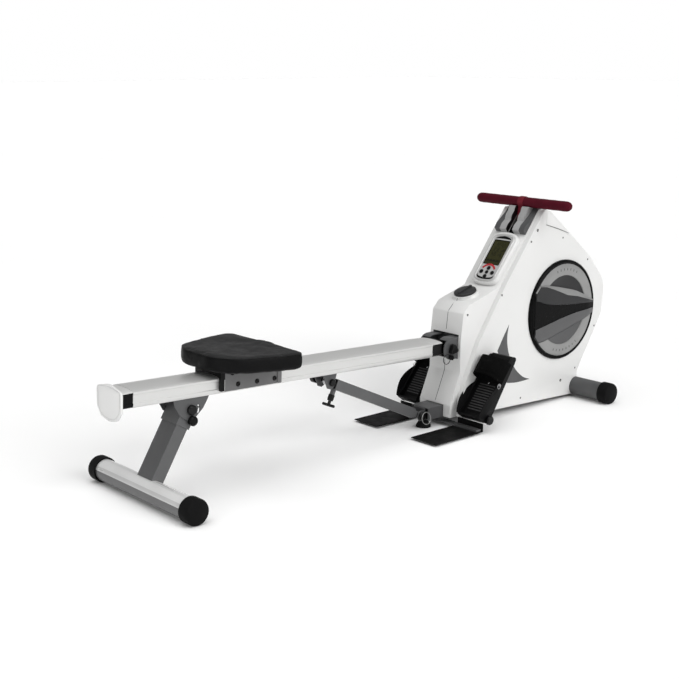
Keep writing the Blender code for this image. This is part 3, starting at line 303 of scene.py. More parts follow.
NODE_FINISHES = {
    GREY_PAINT: ("main_frame", "front_stabilizer", "hinge_bracket", "rear_leg_bracket", "strut_bracket"),
    LEG_PAINT: ("rear_leg", "strut"),
    ALUMINIUM: ("rail",),
    SILVER_TUBE_PAINTED_LIGHT: ("rear_stabilizer",),
    WHITE_PLASTIC: ("casing_left", "casing_right", "rail_end_cap"),
    CARRIAGE_PAINT: ("seat_carriage",),
    RIM_PLASTIC: ("console_housing",),
    DARK_PLASTIC: ("tension_knob",),
    TWO_TONE_BLOCK: ("rail_hinge_block",),
    TWO_TONE_STOP: ("rail_stop_rear",),
    CRADLE: ("handle_cradle",),
    LCD: ("console_screen",),
    STEEL: ("flywheel", "flywheel_axle", "magnet_arm", "strut_tongue"),
    TREAD: ("step_plate_left", "step_plate_right"),
    BLACK_STEEL: ("strut_pivot_bolt", "pedal_axle", "hinge_bolt", "lock_pin", "leg_pivot_bolt", "strut_bolt",
                  "pull_pin"),
    RUBBER: ("front_end_cap_left", "front_end_cap_right", "rear_end_cap_left", "rear_end_cap_right",
             "levelling_foot", "seat_roller_front", "seat_roller_rear", "drive_belt"),
    BLACK_PLASTIC: ("pedal_left", "pedal_right", "seat_base", "leg_lock_knob", "strap_drum", "drive_pulley",
                    "strap_roller", "button_up", "button_down", "button_left", "button_right", "button_set"),
}
PLAIN_EDGE = 0.0005
FINE_EDGES = {"casing_left": 0, "casing_right": 0, "handle_cradle": 0.0008, "console_housing": 0.0006,
              "rear_leg": 0.0015, "strut": 0.0012, "main_frame": 0.0012, "rail": 0.0004}


def smoothing_group():
    """Joins a node's split triangles and shades them smooth across shallow edges."""
    group = bpy.data.node_groups.new("join_and_smooth", "GeometryNodeTree")
    group.interface.new_socket("Geometry", in_out="INPUT", socket_type="NodeSocketGeometry")
    group.interface.new_socket("Geometry", in_out="OUTPUT", socket_type="NodeSocketGeometry")
    nodes, links = group.nodes, group.links
    start, end = nodes.new("NodeGroupInput"), nodes.new("NodeGroupOutput")
    merge = nodes.new("GeometryNodeMergeByDistance")
    merge.inputs["Distance"].default_value = 0.00001
    angle = nodes.new("GeometryNodeInputMeshEdgeAngle")
    compare = nodes.new("FunctionNodeCompare")
    compare.operation = "LESS_THAN"
    compare.inputs[1].default_value = math.radians(34)
    smooth_faces = nodes.new("GeometryNodeSetShadeSmooth")
    smooth_edges = nodes.new("GeometryNodeSetShadeSmooth")
    smooth_edges.domain = "EDGE"
    links.new(start.outputs[0], merge.inputs["Geometry"])
    links.new(merge.outputs[0], smooth_faces.inputs["Geometry"])
    links.new(smooth_faces.outputs[0], smooth_edges.inputs["Geometry"])
    links.new(angle.outputs["Unsigned Angle"], compare.inputs[0])
    links.new(compare.outputs[0], smooth_edges.inputs["Shade Smooth"])
    links.new(smooth_edges.outputs[0], end.inputs[0])
    return group


def dress_nodes():
    group = smoothing_group()
    for surface, names in NODE_FINISHES.items():
        for name in names:
            node = NODES[name]
            node.data.materials.clear()
            node.data.materials.append(surface)
            for attribute in ("custom_normal", "sharp_face"):
                if attribute in node.data.attributes:
                    node.data.attributes.remove(node.data.attributes[attribute])
            node.modifiers.new("smooth", "NODES").node_group = group
            width = FINE_EDGES.get(name, PLAIN_EDGE)
            if width:
                bevel = node.modifiers.new("edges", "BEVEL")
                bevel.width = width
                bevel.segments = 2
                bevel.limit_method = "ANGLE"
                bevel.angle_limit = math.radians(40)
                bevel.harden_normals = True


# Mesh helpers
TUBE_SIDES = 8


def rounded(corners, steps=4, closed=True):
    """An outline from (x, y) or (x, y, radius) corners, in one plane."""
    count = len(corners)
    points = []
    for index, corner in enumerate(corners):
        here = Vector(corner[:2])
        radius = corner[2] if len(corner) > 2 else 0.0
        if not radius or (not closed and index in (0, count - 1)):
            points.append(here)
            continue
        back = Vector(corners[index - 1][:2]) - here
        ahead = Vector(corners[(index + 1) % count][:2]) - here
        start = here + back.normalized() * min(radius, back.length * 0.48)
        end = here + ahead.normalized() * min(radius, ahead.length * 0.48)
        for step in range(steps + 1):
            t = step / steps
            points.append(start * (1 - t) ** 2 + here * 2 * t * (1 - t) + end * t * t)
    return points


def rectangle(x0, y0, x1, y1, near=0.0, far=None, steps=4):
    """A rectangle. Its corners have the radius near at the x0 end, and far (if given) at the x1 end."""
    far = near if far is None else far
    return rounded([(x0, y0, near), (x1, y0, far), (x1, y1, far), (x0, y1, near)], steps)


def turns(count):
    """The angles of a whole turn, in equal steps."""
    return [2 * math.pi * k / count for k in range(count)]


def circle(x, y, radius, count=24, start=0.0, turn=360.0):
    gaps = count if abs(turn) >= 360 else count - 1
    angles = [math.radians(start + turn * k / gaps) for k in range(count)]
    return [Vector((x + radius * math.cos(a), y + radius * math.sin(a))) for a in angles]


def smooth_curve(points, steps):
    """A Catmull-Rom curve through the points, of any dimension."""
    points = [Vector(p) for p in points]
    last = len(points) - 1
    result = []
    for index in range(last):
        a, b, c, d = (points[min(max(index + k, 0), last)] for k in (-1, 0, 1, 2))
        for step in range(steps):
            t = step / steps
            result.append(0.5 * (2 * b + (c - a) * t + (2 * a - 5 * b + 4 * c - d) * t * t
                                 + (3 * b - a - 3 * c + d) * t ** 3))
    return result + points[-1:]


def crossings(path):
    """Each point of a flat path, with the direction across it."""
    for index, here in enumerate(path):
        heading = (path[min(index + 1, len(path) - 1)] - path[max(index - 1, 0)]).normalized()
        yield here, Vector((-heading.y, heading.x))


def ribbon(bm, path, section, half, lay):
    """A band along a flat path. section is (width, out) pairs, out in halves of the thickness, and
    lay(width, point) sets each in space."""
    sweep(bm, [[lay(width, here + across * half * out) for width, out in section]
               for here, across in crossings(path)])


def inset(loop, distance):
    """The outline moved inwards. It runs anticlockwise."""
    if not distance:
        return list(loop)
    result = []
    count = len(loop)
    for index, here in enumerate(loop):
        back = (here - loop[index - 1]).normalized()
        ahead = (loop[(index + 1) % count] - here).normalized()
        across = Vector((-(back.y + ahead.y), back.x + ahead.x))
        if across.length < 1e-6:
            across = Vector((-ahead.y, ahead.x))
        across.normalize()
        reach = max(0.5, across.dot(Vector((-ahead.y, ahead.x))))
        result.append(here + across * distance / reach)
    return result


def anticlockwise(loop):
    loop = [Vector(p) for p in loop]
    area = sum(a.x * b.y - b.x * a.y for a, b in zip(loop, loop[1:] + loop[:1]))
    return loop if area > 0 else loop[::-1]


def sweep(bm, rings, capped=True, looped=False):
    """Joins closed rings of points in order. looped joins the last ring to the first. It returns the faces
    between each two rings."""
    made = [[bm.verts.new(p) for p in ring] for ring in rings]
    bands = []
    for low, high in zip(made, made[1:] + made[:1] if looped else made[1:]):
        bands.append([bm.faces.new((low[index - 1], low[index], high[index], high[index - 1]))
                      for index in [*range(1, len(low)), 0]])
    if capped and not looped:
        bm.faces.new(made[0][::-1])
        bm.faces.new(made[-1])
    return bands


def stack(bm, outline, profile, capped=True):
    """Rings of an outline at (inset, height) steps: a plate with shaped edges, or a rim if not capped."""
    loop = anticlockwise(outline)
    rings = [[(p.x, p.y, height) for p in inset(loop, step)] for step, height in profile]
    return sweep(bm, rings, capped=capped, looped=not capped)


def plate(bm, outline, low, high, edge=0.0004):
    stack(bm, outline, [(0, low), (0, high - edge), (edge * 0.3, high - edge * 0.3), (edge, high)])


def lathe(bm, profile, segments, at=(0, 0, 0)):
    """Turns (radius, height) points about Z. A profile ends on the axis at both ends, or is a closed ring."""
    rings = []
    for radius, height in profile:
        reach = max(radius, 1e-5)
        rings.append([(at[0] + reach * math.cos(a), at[1] + reach * math.sin(a), at[2] + height)
                      for a in turns(segments)])
    open_ends = profile[0][0] > 0.0001
    return sweep(bm, rings, capped=not open_ends, looped=open_ends)


def tube(bm, path, radius, sides=TUBE_SIDES, looped=False):
    """A round wire along points."""
    path = [Vector(p) for p in path]
    count = len(path)
    rings = []
    up = Vector((0.31, 0.17, 0.94))
    for index, here in enumerate(path):
        if looped:
            heading = path[(index + 1) % count] - path[index - 1]
        else:
            heading = path[min(index + 1, count - 1)] - path[max(index - 1, 0)]
        heading.normalize()
        across = heading.cross(up).normalized()
        up = across.cross(heading).normalized()
        rings.append([here + (across * math.cos(a) + up * math.sin(a)) * radius for a in turns(sides)])
    sweep(bm, rings, capped=not looped, looped=looped)


def piece(name, body, finishes, fill, matrix=DATUM, angle=35):
    """A mesh piece: fill(bm) builds it, matrix places it, and it rides on the body."""
    bm = bmesh.new()
    fill(bm)
    bmesh.ops.recalc_face_normals(bm, faces=bm.faces)
    bm.transform(matrix)
    if matrix.determinant() < 0:
        bmesh.ops.reverse_faces(bm, faces=bm.faces)
    mesh = bpy.data.meshes.new(name)
    bm.to_mesh(mesh)
    bm.free()
    mesh.shade_smooth()
    mesh.set_sharp_from_angle(angle=math.radians(angle))
    for surface in finishes if isinstance(finishes, (list, tuple)) else [finishes]:
        mesh.materials.append(surface)
    made = bpy.data.objects.new(name, mesh)
    SCENE.collection.objects.link(made)
    if body is not None:
        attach(made, body)
    return made


def side_basis(sign):
    """Local X and Y lie along X and Z, and local Z points out to that side."""
    return Matrix(((1, 0, 0, 0), (0, 0, sign, 0), (0, 1, 0, 0), (0, 0, 0, 1)))


def mesh_tree(mesh):
    return BVHTree.FromPolygons([v.co for v in mesh.vertices], [list(p.vertices) for p in mesh.polygons])


CASING = [mesh_tree(NODES[name].data) for name in ("casing_left", "casing_right")]


def casing_side(x, z, sign):
    """How far out the casing's side is at that place."""
    start = DATUM @ Vector((x, sign * 0.3, z))
    hits = [tree.ray_cast(start, Vector((0, -sign, 0)))[0] for tree in CASING]
    return max(abs(hit.y) for hit in hits if hit is not None)


def casing_top(x, y):
    start = DATUM @ Vector((x, y, 1.0))
    hits = [tree.ray_cast(start, Vector((0, 0, -1)))[0] for tree in CASING]
    return max(hit.z for hit in hits if hit is not None)


# Casing
SCREWS = [(0.682, 0.659, 0.0052), (0.649, 0.621, 0.0038), (0.828, 0.619, 0.0034), (0.981, 0.523, 0.0034),
          (0.499, 0.445, 0.0038), (1.039, 0.259, 0.0034), (0.932, 0.11, 0.0034), (0.847, 0.075, 0.0052),
          (0.618, 0.048, 0.0038), (0.344, 0.392, 0.0042)]
SWOOSH = [(0.483, 0.246), (0.5125, 0.292), (0.542, 0.334), (0.5345, 0.3), (0.5345, 0.272), (0.5385, 0.248),
          (0.5475, 0.22), (0.562, 0.194), (0.5815, 0.165), (0.607, 0.141), (0.634, 0.123), (0.666, 0.112),
          (0.62, 0.1105), (0.58, 0.112), (0.54, 0.118), (0.51, 0.18)]


def make_screws(side, sign):
    def fill(bm):
        for x, z, radius in SCREWS:
            head = [(0, -0.0003), (radius * 0.36, -0.0003), (radius * 0.42, 0.0009), (radius * 0.8, 0.0007),
                    (radius, 0.0001), (radius, -0.003), (0, -0.003)]
            lathe(bm, head, 18, (x, z, casing_side(x, z, sign)))

    piece("casing_screws_" + side, "frame", DARK_WIRE, fill, DATUM @ side_basis(sign))


def make_swoosh(side, sign):
    """The painted accent on each side, as a thin film."""
    def fill(bm):
        corners = SWOOSH + SWOOSH[:1]
        outline = []
        for first, last in ((0, 3), (2, 12), (11, 15), (14, 17)):
            outline += smooth_curve(corners[first:last], 4)[:-1]
        plate(bm, outline, PANEL_FACE - 0.0008, PANEL_FACE + 0.00035, 0.0001)

    piece("side_accent_" + side, "frame", MID_PLASTIC, fill, DATUM @ side_basis(sign))


def make_top_cap():
    """The white cap behind the handle, wrapped over the casing's top."""
    seam = [(0.729, 0.676), (0.76, 0.667), (0.8, 0.655), (0.835, 0.643), (0.858, 0.6345)]
    start, end = 0.7305, 0.8565
    half, corner = 0.094, 0.0135

    def seam_height(x):
        for (x0, z0), (x1, z1) in zip(seam, seam[1:]):
            if x <= x1:
                return z0 + (z1 - z0) * (x - x0) / (x1 - x0)
        return seam[-1][1]

    def fill(bm):
        rings = []
        for step in range(21):
            x = start + (end - start) * step / 20
            top = casing_top(x, 0.05)
            low = min(seam_height(x), top - 0.0146)
            side = [(half - 0.0025, low - 0.0004), (half - 0.0004, low), (half, low + 0.001)]
            turn = circle(half - corner, top + 0.0012 - corner, corner, 6, 0, 90)
            right = side + turn + [(0.05, top + 0.0022), (0.02, top + 0.003)]
            under = [(half - 0.003, low + 0.003), (half - 0.014, top - 0.003)]
            outline = right + [(-y, z) for y, z in right[::-1] + under] + under[::-1]
            rings.append([(x, y, z) for y, z in outline])
        sweep(bm, rings)

    piece("top_cap", "frame", WHITE_PLASTIC, fill)

    # Painted shadow: a dark strip on the panel just under the cap's lower edge, where the cap's step casts
    # its shade.
    def fill_cap_edge_shadow(bm):
        for sign in (-1, 1):
            tube(bm, [(x, sign * (half - 0.0003), z - 0.0012) for x, z in seam], 0.0009, 6)

    piece("cap_edge_painted_shadow", "frame", DARK_WIRE, fill_cap_edge_shadow)


def make_nose_seam():
    """The split between the two casing halves, seen on the front of the nose."""
    back = DATUM.inverted()

    def fill(bm):
        for low, high in ((0.085, 0.225), (0.335, 0.455)):
            rings = []
            for step in range(25):
                height = low + (high - low) * step / 24
                hits = [tree.ray_cast(Vector((-0.4, side * 0.003, height)), Vector((1, 0, 0)))[0]
                        for tree in CASING for side in (-1, 1)]
                front = min((back @ hit).x for hit in hits if hit is not None) - 0.0002
                rings.append([(x, y, height) for x, y in rectangle(front, -0.0009, front + 0.002, 0.0009)])
            sweep(bm, rings)

    piece("nose_seam", "frame", BLACK_GLOSS, fill)


# Disc covers: a two-tone disc under a sculpted bar
BAR = [  # x, top edge, foot of the bright facet, top and bottom of the black spike, bottom edge
    (0.669, 0.433, 0.4315, 0.404, 0.296, 0.267), (0.69, 0.4555, 0.454, 0.398, 0.3, 0.243),
    (0.725, 0.4535, 0.449, 0.386, 0.306, 0.246), (0.756, 0.449, 0.439, 0.38, 0.311, 0.252),
    (0.8, 0.44, 0.423, 0.374, 0.319, 0.263), (0.847, 0.429, 0.405, 0.369, 0.326, 0.273),
    (0.88, 0.421, 0.3985, 0.3665, 0.33, 0.281), (0.907, 0.413, 0.3935, 0.365, 0.3325, 0.288),
    (0.95, 0.396, 0.381, 0.362, 0.335, 0.298), (0.985, 0.38, 0.3705, 0.36, 0.337, 0.308),
    (1.007, 0.369, 0.364, 0.358, 0.338, 0.317)]
# Finish 1, on the facet that slopes up from the bar's top edge, is a painted highlight; the lower lobe's
# downward facet (finish 0) is darker than its grey crown as painted shade.
BAR_TONES_AND_PAINTED_LIGHT = (0, 1, 0, 0, 3, 3, 3, 2, 2, 0, 0, 3, 3, 3)  # round each ring, from the top edge
SEGMENT_RADIUS, SEGMENT_CHORD, TICK_RADIUS = 0.178, 0.156, 0.152


def make_disc(side, sign):
    place = DATUM @ side_basis(sign)
    centre = place @ Matrix.Translation((DISC_CENTRE.x, DISC_CENTRE.y, PANEL_FACE))

    def fill_disc(bm):
        profile = [(0, 0.008), (0.06, 0.008), (0.1275, 0.008), (0.129, 0.0086), (0.1305, 0.0112),
                   (0.132, 0.0116), (0.15, 0.0117), (0.169, 0.0112), (0.1725, 0.0098), (0.1745, 0.0092),
                   (0.1765, 0.0108), (0.179, 0.0116), (0.1825, 0.0108), (0.1855, 0.008), (0.187, 0.004),
                   (0.187, -0.001), (0, -0.001)]
        for index, band in enumerate(lathe(bm, profile, 128)):
            for face in band:
                if index < 3:
                    face.material_index = 1 if face.calc_center_median().y > 0 else 2
                else:
                    face.material_index = 0 if index < 8 else 3

    disc = piece("disc_" + side, "frame", [SILVER_PLASTIC, DARK_PLASTIC, MID_PLASTIC, BLACK_GLOSS], fill_disc,
                 centre)
    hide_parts("disc_cover_" + side)

    def fill_bar(bm):
        rings = []
        stations = smooth_curve([Vector(row[:2] + (0,)) for row in BAR], 4)
        for number, at in enumerate(stations):
            back, ahead = BAR[min(number // 4, len(BAR) - 2):][:2]
            t = (at.x - back[0]) / (ahead[0] - back[0])
            x, top, facet, upper, lower, foot = (a * (1 - t) + b * t for a, b in zip(back, ahead))
            flat = min(1.0, 0.45 + (1.007 - x) / 0.06)
            rise = [(top + 0.0006, 0.01), (top, 0.013), (facet, 0.0192), ((facet + upper) / 2, 0.0196),
                    (upper, 0.0182), (upper - 0.0014, 0.0158), (lower + 0.0014, 0.0158), (lower, 0.0182),
                    ((lower + foot) / 2, 0.0192), (foot + 0.004, 0.016), (foot, 0.013), (foot - 0.0006, 0.01)]
            rings.append([(x, z, PANEL_FACE + 0.01 + (h - 0.01) * flat) for z, h in rise]
                         + [(x, foot, PANEL_FACE + 0.0075), (x, top, PANEL_FACE + 0.0075)])
        for band in sweep(bm, rings):
            for face, finish_index in zip(band, BAR_TONES_AND_PAINTED_LIGHT):
                face.material_index = finish_index

    piece("disc_bar_" + side, "frame", [DARK_PLASTIC, SILVER_PLASTIC, MID_PLASTIC, BLACK_GLOSS], fill_bar,
          place, 20)

    edge = math.degrees(math.acos(SEGMENT_CHORD / SEGMENT_RADIUS))
    segment = circle(DISC_CENTRE.x, DISC_CENTRE.y, SEGMENT_RADIUS, 24, 180 - edge, 2 * edge)
    piece("disc_segment_" + side, "frame", BLACK_GLOSS,
          lambda bm: plate(bm, segment, PANEL_FACE + 0.006, PANEL_FACE + 0.0128, 0.0008), place)

    def fill_ticks(bm):
        tick = rectangle(-0.0042, -0.0011, 0.0042, 0.0011)
        for middle, count in ((84, 7), (-84, 8)):
            for k in range(count):
                a = math.radians(middle + (k - (count - 1) / 2) * 7.2)
                out, along = Vector((math.cos(a), math.sin(a))), Vector((-math.sin(a), math.cos(a)))
                loop = [out * (TICK_RADIUS + p.x) + along * p.y for p in tick]
                plate(bm, loop, 0.0105, 0.0121, 0.0001)

    piece("disc_ticks_" + side, "frame", DARK_PLASTIC, fill_ticks, centre)


# Console
INK_EDGE = 0.00005
TRIM_HEIGHTS = (0.0036, 0.0046, 0.0002)
DIGITS = {0.056: ((0.018, 1), (0.006, 2), (-0.008, 0), (-0.02, 5)), 0.035: ((0.016, 2), (0.002, 8)),
          0.015: ((0.018, 5), (0.006, 0), (-0.008, 1), (-0.02, 8))}  # by height up the display, from its left
SEGMENTS = {0: "abcdef", 1: "bc", 2: "abged", 5: "afgcd", 8: "abcdefg"}


def digit(bm, s, y, number, size, low, high):
    """A seven-segment number. s runs up the display and y to its left."""
    w, h, t = size * 0.5, size, size * 0.14
    bars = {"a": (h / 2, 0, False), "g": (0, 0, False), "d": (-h / 2, 0, False), "f": (h / 4, w / 2, True),
            "b": (h / 4, -w / 2, True), "e": (-h / 4, w / 2, True), "c": (-h / 4, -w / 2, True)}
    for letter in SEGMENTS[number]:
        up, across, upright = bars[letter]
        ds, dy = (h / 4 - t * 0.35, t / 2) if upright else (t / 2, w / 2 - t * 0.35)
        cs, cy = s + up, y + across
        plate(bm, rectangle(cs - ds, cy - dy, cs + ds, cy + dy), low, high, INK_EDGE)


def bow(end, bend, crest, way):
    """A curve across the console, from one side's end over the crest to the other side's."""
    half = [(end[0], -way * end[1]), (bend[0], -way * bend[1])]
    return smooth_curve(half + [(crest, 0)] + [(s, -y) for s, y in reversed(half)], 5)[:-1]


def make_console():
    rim = rounded([(-0.0915, -0.047, 0.02), (0.0925, -0.05, 0.02), (0.1025, 0, 0.08), (0.0925, 0.05, 0.02),
                   (-0.0915, 0.047, 0.02), (-0.0995, 0, 0.08)], 8)
    lip = [(-0.0012, -0.012), (-0.0014, 0.003), (-0.0004, 0.0058), (0.0018, 0.0074), (0.0042, 0.0072),
           (0.0062, 0.0056), (0.0068, 0.0034), (0.004, 0.003)]
    piece("console_rim", "frame", RIM_PLASTIC, lambda bm: stack(bm, rim, lip, capped=False), CONSOLE, 50)
    pod = [(-0.011, -0.014), (-0.011, -0.001), (-0.009, 0.0022), (-0.005, 0.0034), (-0.0016, 0.003),
           (-0.0016, -0.014)]
    piece("console_pod", "frame", WHITE_PLASTIC, lambda bm: stack(bm, rim, pod, capped=False), CONSOLE, 50)

    def fill_bezel(bm):
        window = rectangle(-0.0295, -0.037, 0.0745, 0.037, 0.003)
        stack(bm, window, [(0, 0.0035), (0.0002, 0.0044), (0.0024, 0.0042), (0.003, 0.0026)], capped=False)
        brow = bow((0.0785, 0.0375), (0.087, 0.025), 0.0915, 1)
        plate(bm, brow + bow((0.0785, 0.0375), (0.08, 0.02), 0.0805, -1), *TRIM_HEIGHTS)
        smile = bow((-0.07, 0.04), (-0.085, 0.033), -0.0915, -1)
        plate(bm, smile + bow((-0.07, 0.04), (-0.0795, 0.03), -0.084, 1), *TRIM_HEIGHTS)

    piece("console_trim", "frame", BLACK_GLOSS, fill_bezel, CONSOLE)

    arc = circle(-0.0615, 0, 0.0355, 16, -62, 124) + circle(-0.0615, 0, 0.0275, 16, 62, -124)
    piece("console_red_arc", "frame", RED_PLASTIC, lambda bm: plate(bm, arc, 0.0036, 0.0047, 0.0002), CONSOLE)

    def fill_keypad(bm):
        for s, y, radius in ((-0.0442, 0, 0.0072), (-0.0615, 0.0255, 0.0072), (-0.0615, 0, 0.0062),
                             (-0.0615, -0.0255, 0.0072), (-0.0789, 0, 0.0072)):
            ring = [(0, 0.0035), (0.0004, 0.0047), (0.0011, 0.0045), (0.0013, 0.0035)]
            stack(bm, circle(s, y, radius + 0.002, 20), ring, capped=False)

    piece("keypad_rings", "frame", SILVER_PLASTIC, fill_keypad, CONSOLE)

    def fill_ink(bm):
        low, high = 0.0029, 0.00315
        for s, row in DIGITS.items():
            for y, number in row:
                digit(bm, s, y, number, 0.0125, low, high)
        for k in range(9):
            y = -0.014 - k * 0.0018
            height = 0.002 + 0.0011 * k
            plate(bm, rectangle(0.029, y, 0.029 + height, y + 0.0011), low, high, INK_EDGE)
        for s in (0.0255, 0.0455, 0.0665, -0.018):
            plate(bm, rectangle(s, -0.031, s + 0.0006, 0.031), low, high, INK_EDGE)
        for k in range(12):
            y = -0.0295 + k * 0.0052
            height = 0.003 + 0.006 * abs(math.sin(k * 1.1))
            plate(bm, rectangle(-0.015, y, -0.015 + height, y + 0.0036), low, high, INK_EDGE)

    piece("display_numbers", "frame", INK, fill_ink, CONSOLE)

    ring = [(0.0415, 0.0085), (0.045, 0.009), (0.0462, 0.01), (0.045, 0.0112), (0.042, 0.0114)]
    piece("knob_collar", "frame", WHITE_PLASTIC, lambda bm: lathe(bm, ring, 64), KNOB)


# Handle and its strap
STRAP_HALF = 0.0009  # half its thickness


def make_handle():
    centre = DATUM @ Matrix.Translation((0.707, 0, 0.752)) @ Matrix.Rotation(math.radians(-90), 4, "X")

    def fill_bar(bm):
        half = [(0, 0.219), (0.006, 0.2182), (0.0115, 0.215), (0.0156, 0.2095), (0.0176, 0.203),
                (0.0181, 0.196)]
        for step in range(1, 16):
            at = 0.196 * (1 - step / 15)
            half.append((0.01805 + 0.00022 * math.sin(step * 1.9), at + 0.000001))
        mirrored = [(radius, -at) for radius, at in reversed(half[:-1])]
        lathe(bm, half + mirrored, 40)

    bar = piece("handle_grip", "handle", RED_FOAM, fill_bar, centre, 60)
    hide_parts("handle_bar")

    loop = [(0.0182, 0.0124), (0.02, 0.0122), (0.0206, 0.01), (0.0206, -0.01), (0.02, -0.0122),
            (0.0182, -0.0124)]
    piece("strap_loop", "handle", RED_WEB, lambda bm: lathe(bm, loop, 36), centre, 50)

    lower = NODES["strap_inner"].data
    start = DATUM.inverted() @ min((v.co for v in lower.vertices), key=lambda p: p.z)
    top = Vector((0.694, 0.737))
    bend = circle(0.672, 0.648, 0.0134, 4, -12, 16)
    exit_point = bend[-1]
    path = [Vector((start.x + 0.001, start.z)).lerp(bend[0], k / 8) for k in range(8)] + bend
    path += [exit_point.lerp(top, k / 28) for k in range(1, 29)]

    def fill_strap(bm):
        section = ((-0.012, 0.4), (-0.0112, 1), (0, 1), (0.0112, 1), (0.012, 0.4),
                   (0.012, -0.4), (0.0112, -1), (0, -1), (-0.0112, -1), (-0.012, -0.4))
        ribbon(bm, path, section, STRAP_HALF, lambda y, at: (at.x, y, at.y))

    strap = piece("pull_strap", None, RED_WEB, fill_strap)
    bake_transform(strap)
    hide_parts("strap_outer", "strap_inner")


# Rail, leg and strut
def make_rail_details():
    bumper = [(0, -0.0015), (0.0085, -0.0015), (0.0085, -0.006), (0.01, -0.0075), (0.01, -0.0125),
              (0.0075, -0.015), (0, -0.0155)]
    piece("rail_bumper", "rail", RUBBER, lambda bm: lathe(bm, bumper, 24),
          RAIL @ Matrix.Translation((-0.488, 0, -0.0205)))

    ring = [(0.172 + 0.0205 * math.cos(a), -0.05 + 0.004 * math.sin(a), 0.047 + 0.0205 * math.sin(a))
            for a in turns(40)]
    piece("strut_pin_ring", "frame", SILVER_PLASTIC, lambda bm: tube(bm, ring, 0.0013, looped=True))

    sleeve = [(0, 0.056), (0.008, 0.0556), (0.0096, 0.054), (0.0096, 0.0372), (0.008, 0.036), (0, 0.0358)]
    run = Vector((STRUT_TOP[0] - STRUT_BASE[0], 0, STRUT_TOP[1] - STRUT_BASE[1]))
    strut = DATUM @ Matrix.Translation((STRUT_BASE[0], 0, STRUT_BASE[1]))
    strut = strut @ Matrix.Rotation(-math.atan2(run.z, run.x), 4, "Y")
    piece("pull_pin_grip", "pull_pin", RUBBER, lambda bm: lathe(bm, sleeve, 24),
          strut @ Matrix.Translation((run.length - 0.04, 0, 0)))

    shield = rounded([(-0.0585, 0.03, 0.008), (-0.0575, -0.026, 0.012), (-0.0385, -0.0505, 0.015),
                      (0, -0.058, 0.03), (0.0385, -0.0505, 0.015), (0.0575, -0.026, 0.012),
                      (0.0585, 0.03, 0.008), (0, 0.0395, 0.05)], 6)
    lip = [(0, 0.0002), (0.0002, 0.0006), (0.0008, 0.0006), (0.001, 0.0002)]
    turn = Matrix(((0, 0, -1, 0), (-1, 0, 0, 0), (0, 1, 0, 0), (0, 0, 0, 1)))
    piece("end_plate_line", "rail", RIM_PLASTIC, lambda bm: stack(bm, shield, lip, capped=False),
          RAIL @ Matrix.Translation((-1.3297, 0, 0)) @ turn)


def make_carriage_details():
    for side, sign in SIDES:
        place = CARRIAGE @ side_basis(sign)

        def fill_bolts(bm):
            head = [(0, 0.0006), (0.003, 0.0006), (0.0034, 0.0034), (0.0056, 0.0034), (0.0066, 0.0022),
                    (0.0068, 0.0006), (0.008, 0.0005), (0.008, -0.0008), (0, -0.0008)]
            for x, z in ((-0.0455, 0.0022), (0.0257, 0.0014), (0.0927, 0.0015)):
                lathe(bm, head, 20, (x, z, 0.0645))

        piece("carriage_bolts_" + side, "carriage", BLACK_STEEL, fill_bolts, place)

        strip = rectangle(-0.0968, -0.012, -0.0954, 0.022)
        piece("wiper_strip_" + side, "carriage", ALUMINIUM,
              lambda bm: plate(bm, strip, 0.065, 0.0664, 0.0003), place)
        cover = rectangle(0.103, -0.015, 0.1188, 0.049, 0.003)
        piece("wiper_cover_" + side, "carriage", CARRIAGE_PAINT,
              lambda bm: plate(bm, cover, 0.0655, 0.0668, 0.0003), place)


# Seat
PUFF_FRAMES = 20
HALF_PAD = [(-0.16, -0.07, 0.025), (-0.118, -0.14, 0.04), (0.02, -0.184, 0.03), (0.112, -0.192, 0.03)]
PAD = HALF_PAD + [(0.128, 0, 0.04)] + [(x, -y, radius) for x, y, radius in reversed(HALF_PAD)]


def pad_top(x, y):
    """Height of the seat's top: hollows for the sitter, a raised back edge and a small nose at the front."""
    hollow = sum(math.exp(-((x + 0.02) / 0.075) ** 2 - ((y - at) / 0.062) ** 2) for at in (-0.078, 0.078))
    channel = math.exp(-((x - 0.06) / 0.075) ** 2 - (y / 0.03) ** 2)
    nose = math.exp(-((x - 0.104) / 0.026) ** 4 - (y / 0.034) ** 4)
    rim = min(1.0, max(0.0, (-x - 0.09) / 0.07))
    return 0.1 - 0.0065 * hollow - 0.003 * channel + 0.0045 * nose + 0.002 * rim


def make_seat():
    loop = anticlockwise(rounded(PAD, 6))
    middle = Vector((-0.02, 0))

    def fill(bm):
        rings = []
        for step, height in ((0.034, 0.056), (0.026, 0.053), (0.01, 0.0512), (0.002, 0.056), (0, 0.066),
                             (0, 0.08), (0.001, 0.0925)):
            rings.append([(p.x, p.y, height) for p in inset(loop, step)])
        for share, drop in ((0.985, 0.0025), (0.965, 0.0004), (0.92, 0), (0.82, 0), (0.72, 0), (0.6, 0),
                            (0.48, 0), (0.36, 0), (0.24, 0), (0.12, 0), (0.04, 0)):
            ring = []
            for p in loop:
                at = middle + (p - middle) * share
                ring.append((at.x, at.y, pad_top(at.x, at.y) - drop))
            rings.append(ring)
        sweep(bm, rings)

    pad = piece("seat_cushion", None, VINYL, fill, CARRIAGE, 60)
    puff(pad, 0.0045, 0.0035)
    crease(pad)
    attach(pad, "carriage")
    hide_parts("seat_pad")

    def fill_piping(bm):
        line = inset(loop, 0.006)
        path = [(p.x, p.y, pad_top(p.x, p.y) - 0.001) for p in line]
        tube(bm, path, 0.0012, looped=True)

    piping = piece("seat_piping", None, VINYL, fill_piping, CARRIAGE, 60)
    settle(piping, pad, 0.0006)
    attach(piping, "carriage")


